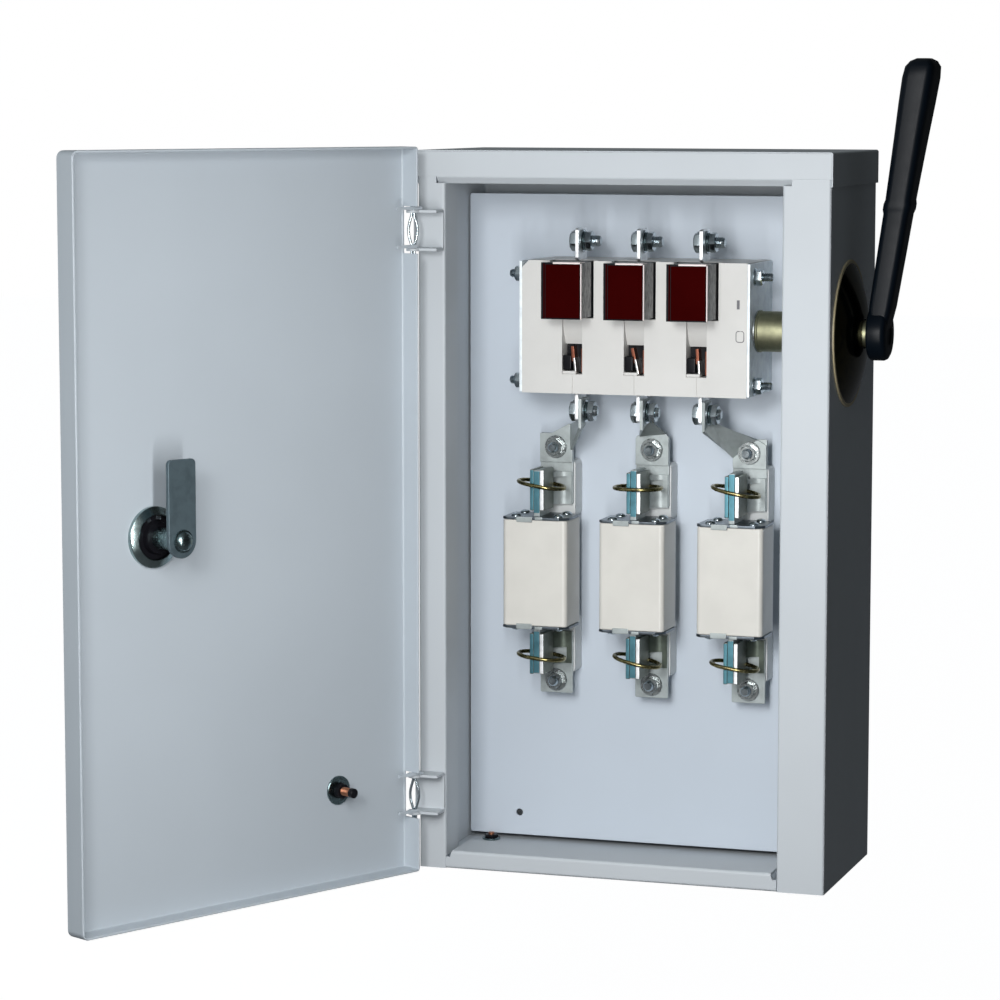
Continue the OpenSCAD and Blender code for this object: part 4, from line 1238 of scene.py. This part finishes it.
def build_jaws():
    """Knife blades between two prongs, webs that curve back to the feet, and spring rings."""
    blades, prongs, rings = Shape(), Shape(), Shape()
    low, high = FUSES["left"]
    base, left_x = (high.z - low.z) / 2, middle((low, high)).x
    # Inside and outside of a prong from the middle, its two ends, and the place of its ring
    knife, grip, root, top, ring = 2.25, 5.15, 43.5, 72.5, 61.0
    front, back = -10.5, 11.5
    olive, pale = 3, 4
    tilts = (8.5, 6.0, 0.0, 12.0, 11.0, 8.0)
    for (centre, sign, local), tilt in zip(fuse_ends(), tilts):
        rise = 2.0 if sign > 0 and centre.x > left_x else -0.5
        tip = top + rise
        blades.block((-knife, -11.5, base + 1.8), (knife, 11.5, tip), 0.6, 0, local)
        # Teal strip on the blade's front: painted reflection
        blades.block((0.2 - knife, -11.9, base + 4.5), (knife - 0.2, -11.3, tip - 0.6), 0.2, 1, local)
        foot = FOOT_Y - centre.y
        # Prong fronts: teal on the left prong is painted reflection, white on the right one a painted
        # highlight
        for x0, x1, edge in ((-grip, -knife, 1), (knife, grip, 2)):
            # Prong body in dark tin: painted shade
            prongs.block((x0, front - 0.9, root), (x1, back, top), 0.5, 0, local)
            low, high = (x0 + 0.2, front - 1.3, root + 0.5), (x1 - 0.2, front - 0.7, top - 0.5)
            prongs.block(low, high, 0.25, edge, local)
        x = (knife + grip) / 2
        web = Shape(local)
        path = ((x, front), (x, foot - 1.2), (grip + 11.0, foot - 1.2))
        web.prism(bent_sheet(path, 1.8, (9.0,), 8), root + 2.0, top - 4.0)
        slot = Shape(local)
        slot.block((x - 4, back - 2.5, ring - 4.0), (x + 9, foot + 2, ring + 4.0), 0)
        web.cut(slot)
        # Webs at the lower ends are darker than at the upper ends: painted shade
        for face in web.mesh.faces:
            face.material_index = olive if sign < 0 else pale
        prongs.take(web.mesh)
        lean = local @ Matrix.Translation((0, 0, ring)) @ Matrix.Rotation(radians(sign * tilt), 4, "Y")
        bend, run, wire = 13.2, 3.4, 1.4
        loop = arc(bend, -90, 90, 14, (run, 0)) + arc(bend, 90, 270, 14, (-run, 0))
        rings.tube([(x, y, 0) for x, y in loop], wire, 0, 12, True, lean)
    blades.finish("knife_blades", "silvered_copper", ("pale_metal", "teal_painted_reflection"), ("fuse_blades",))
    prongs.finish(
        "gripping_prongs", "silvered_copper",
        ("shaded_metal", "teal_painted_reflection", "bright", "olive_tin", "pale_metal"), ("contact_prongs",)
    )
    rings.finish("ring_springs", "yellow_zinc", ("yellow",), ("spring_rings",), angle=80)


def build_feet():
    """Feet with their bolts, on insulating posts."""
    feet, bolts, posts = Shape(), Shape(), Shape()
    wide, top, long, thick = 12.0, 95.5, 50.0, 2.5
    bolt, upper, lower, margin, link = 72.5, 13.5, 8.5, 9.5, 2.0
    plate = BOX["mounting_plate"][0].y
    # Inner and outer end of a post above the middle of its fuse, and half of its width
    low_z, high_z, half = 36.0, 76.0, 13.0
    for centre, sign, local in fuse_ends():
        foot = FOOT_Y - centre.y
        bolt_z = bolt + (upper if sign > 0 else lower)
        outline = rounded((top - long, FOOT_SHIFT - wide), (bolt_z + margin, FOOT_SHIFT + wide), 1.0)
        feet.prism(outline, foot, foot + thick, "y", 0, 0.4, local=local)
        y = foot - (link if sign > 0 else 0.0)
        at = (FOOT_SHIFT, 0, bolt_z)
        flip = local @ Matrix.Scale(-1, 4, (0, 1, 0))
        washer(bolts, 8.0, -y, 1.4, at, "y", 1, flip)
        bolts.hexagon(10.6, -y + 1.4, -y + 5.6, at, "y", 1, 0.2, flip)
        bolts.thread(3.6, -y + 5.4, -y + 10.4, at, "y", 0, flip)
        outline = rounded((low_z, FOOT_SHIFT - half), (high_z, FOOT_SHIFT + half), 3.0)
        posts.prism(outline, foot + thick, plate - centre.y, "y", 0, 0.8, local=local)
    feet.finish("bolted_feet", "silvered_copper", ("pale_metal",), ("contact_feet",))
    bolts.finish("foot_bolts", "zinc_steel", ("zinc", "nickel"), ("contact_bolts",))
    posts.finish("post_insulators", "grey_plastic", ("post",), ("insulating_posts",))


class SWITCHBOX_OT_fuses(bpy.types.Operator):
    """Fuses with their contacts, spring rings and posts"""

    bl_idname = "switchbox.fuses"
    bl_label = "Fuses"

    def execute(self, context):
        for name, (low, high) in FUSES.items():
            made = Shape()
            made.prism(rounded((low.x, low.y), (high.x, high.y), 3.2, 6), low.z, high.z, "z", 0, 1.0, 3)
            made.finish(f"ceramic_{name}", "ceramic", ("ceramic",), (f"fuse_{name}",))
        build_end_plates()
        build_jaws()
        build_feet()
        return {"FINISHED"}


# -------------------- drive and lever


def build_cover():
    """Round domed cover, near-black with faint olive patches that are painted reflection, and a gold rim
    that is a painted highlight.
    """
    low, high = BOX["rosette"]
    at, bore, lip = (low.x, *DRIVE), 10.5, 0.5
    radius, rise = (high.y - low.y) / 2, high.x - low.x
    ball = (radius ** 2 + rise ** 2) / (2 * rise)
    dome = [
        (ball * sin(a), rise - ball + ball * cos(a))
        for a in (asin((radius - 1.5) / ball) * i / 20 for i in range(20, 3, -1))
    ]
    cover = Shape()
    start = [(bore, 0), (radius - lip, 0), (radius - lip, 1.1)]
    cover.lathe(start + dome + [(bore, rise - 0.4), (bore, rise - 3)], at, "x", 96)
    inside = radius - 2.0
    rim = ((inside, 0), (radius, 0), (radius, 0.8), (radius - lip, 1.2), (inside, 1.2))
    # Rim in gold: painted highlight
    cover.lathe(rim, at, "x", 96, 1)
    cover.finish("round_cover", "yellow_zinc", ("mirror", "gilt_painted_highlight"), ("rosette",), angle=60)


def build_sleeve():
    """Turned sleeve with a collar in pale nickel that is a painted highlight, and the shaft that carries the
    lever.
    """
    low, high = BOX["drive_sleeve"]
    at, radius, shaft = (low.x, *DRIVE), 14.4, 9.0
    end, tip = 143.0 - low.x, high.x - low.x
    sleeve = Shape()
    sleeve.lathe((
        (0, 0), (radius - 2.2, 0), (radius - 1.6, 0.5), (radius - 0.2, 2.2), (radius, 2.6), (radius, 3.4),
        (radius - 0.5, 3.9), (radius - 0.5, end - 0.5), (radius - 1, end), (shaft, end), (shaft, tip),
        (0, tip)
    ), at, "x", 64)
    inside = radius - 2.4
    # Pale nickel ring at the sleeve's end: painted highlight
    collar = ((inside, 0), (radius - 1.6, 0.2), (radius, 1.0), (radius, 1.8), (inside, 1.8))
    sleeve.lathe(collar, at, "x", 64, 1)
    sleeve.finish("shaft_sleeve", "yellow_zinc", ("olive", "nickel"), ("drive_sleeve",), "handle")


def build_lever():
    """Hub and a lever that leans outwards, widens to a grip and has a raised collar."""
    hub_x, hub_r, hub_t = 160.0, 18.0, 13.0
    made = Shape()
    made.lathe((
        (0, 0), (hub_r - 1.4, 0), (hub_r, 1.4), (hub_r, hub_t - 3.2), (hub_r - 0.9, hub_t - 1.2),
        (hub_r - 3.0, hub_t), (7.5, hub_t), (6.8, hub_t - 0.8), (0, hub_t - 1.2)
    ), (hub_x, *DRIVE), "x", 64)
    length, lean, square = 185.1, 29.0, 0.4
    slices = (
        (0.02, 6.5, 12.0), (0.10, 8.0, 12.2), (0.30, 8.6, 12.5), (0.44, 8.9, 12.8), (0.455, 9.7, 13.8),
        (0.475, 9.7, 13.9), (0.49, 9.0, 13.4), (0.60, 9.4, 14.6), (0.72, 9.9, 16.0), (0.84, 10.6, 17.2),
        (0.93, 10.9, 17.8), (0.97, 10.2, 17.0), (0.99, 7.6, 14.4), (1.0, 4.0, 9.0)
    )
    rings = []
    for share, half_x, half_y in slices:
        x, z = hub_x + hub_t / 2 + share * lean - 1.0, DRIVE[1] + share * length
        ring = []
        for c, s in arc(1, 0, 360, 40)[:-1]:
            across = half_x * copysign(abs(c) ** square, c)
            along = half_y * copysign(abs(s) ** square, s)
            ring.append((x + across, DRIVE[0] + along, z))
        rings.append(ring)
    made.loft(rings)
    made.finish("lever", "black_plastic", ("lever",), ("handle",), "handle", angle=50)


class SWITCHBOX_OT_drive(bpy.types.Operator):
    """Drive sleeve, round cover and lever"""

    bl_idname = "switchbox.drive"
    bl_label = "Drive and lever"

    def execute(self, context):
        build_cover()
        build_sleeve()
        build_lever()
        return {"FINISHED"}


# -------------------- add-on


class SWITCHBOX_OT_frame_nodes(bpy.types.Operator):
    """Finishes of the frame's own nodes that are kept as they are"""

    bl_idname = "switchbox.frame_nodes"
    bl_label = "Frame nodes"

    def execute(self, context):
        node = NODES["plate_standoffs"]
        node.data.materials.clear()
        node.data.materials.append(FINISH["zinc"])
        soften(node, 0.4)
        node.modifiers.new("even light", "WEIGHTED_NORMAL")
        return {"FINISHED"}


OPERATORS = [
    SWITCHBOX_OT_stage,
    SWITCHBOX_OT_finishes,
    SWITCHBOX_OT_cabinet,
    SWITCHBOX_OT_door,
    SWITCHBOX_OT_switch,
    SWITCHBOX_OT_fuses,
    SWITCHBOX_OT_drive,
    SWITCHBOX_OT_frame_nodes,
]


class SWITCHBOX_PT_panel(bpy.types.Panel):
    """Lists the settings and the pieces"""

    bl_label = "Switch box"
    bl_idname = "SWITCHBOX_PT_panel"
    bl_space_type = "VIEW_3D"
    bl_region_type = "UI"
    bl_category = "Switch box"

    def draw(self, context):
        for group, settings in GROUPS.items():
            for key in settings.__annotations__:
                self.layout.prop(getattr(context.scene, group), key)
        for item in OPERATORS:
            self.layout.operator(item.bl_idname)


def register():
    for item in (*GROUPS.values(), *OPERATORS, SWITCHBOX_PT_panel):
        bpy.utils.register_class(item)
    for group, settings in GROUPS.items():
        setattr(bpy.types.Scene, group, bpy.props.PointerProperty(type=settings))


def unregister():
    for group in GROUPS:
        delattr(bpy.types.Scene, group)
    for item in (SWITCHBOX_PT_panel, *reversed(OPERATORS), *GROUPS.values()):
        bpy.utils.unregister_class(item)


def main():
    register()
    for item in OPERATORS:
        area, name = item.bl_idname.split(".")
        getattr(getattr(bpy.ops, area), name)()


if __name__ == "__main__":
    main()
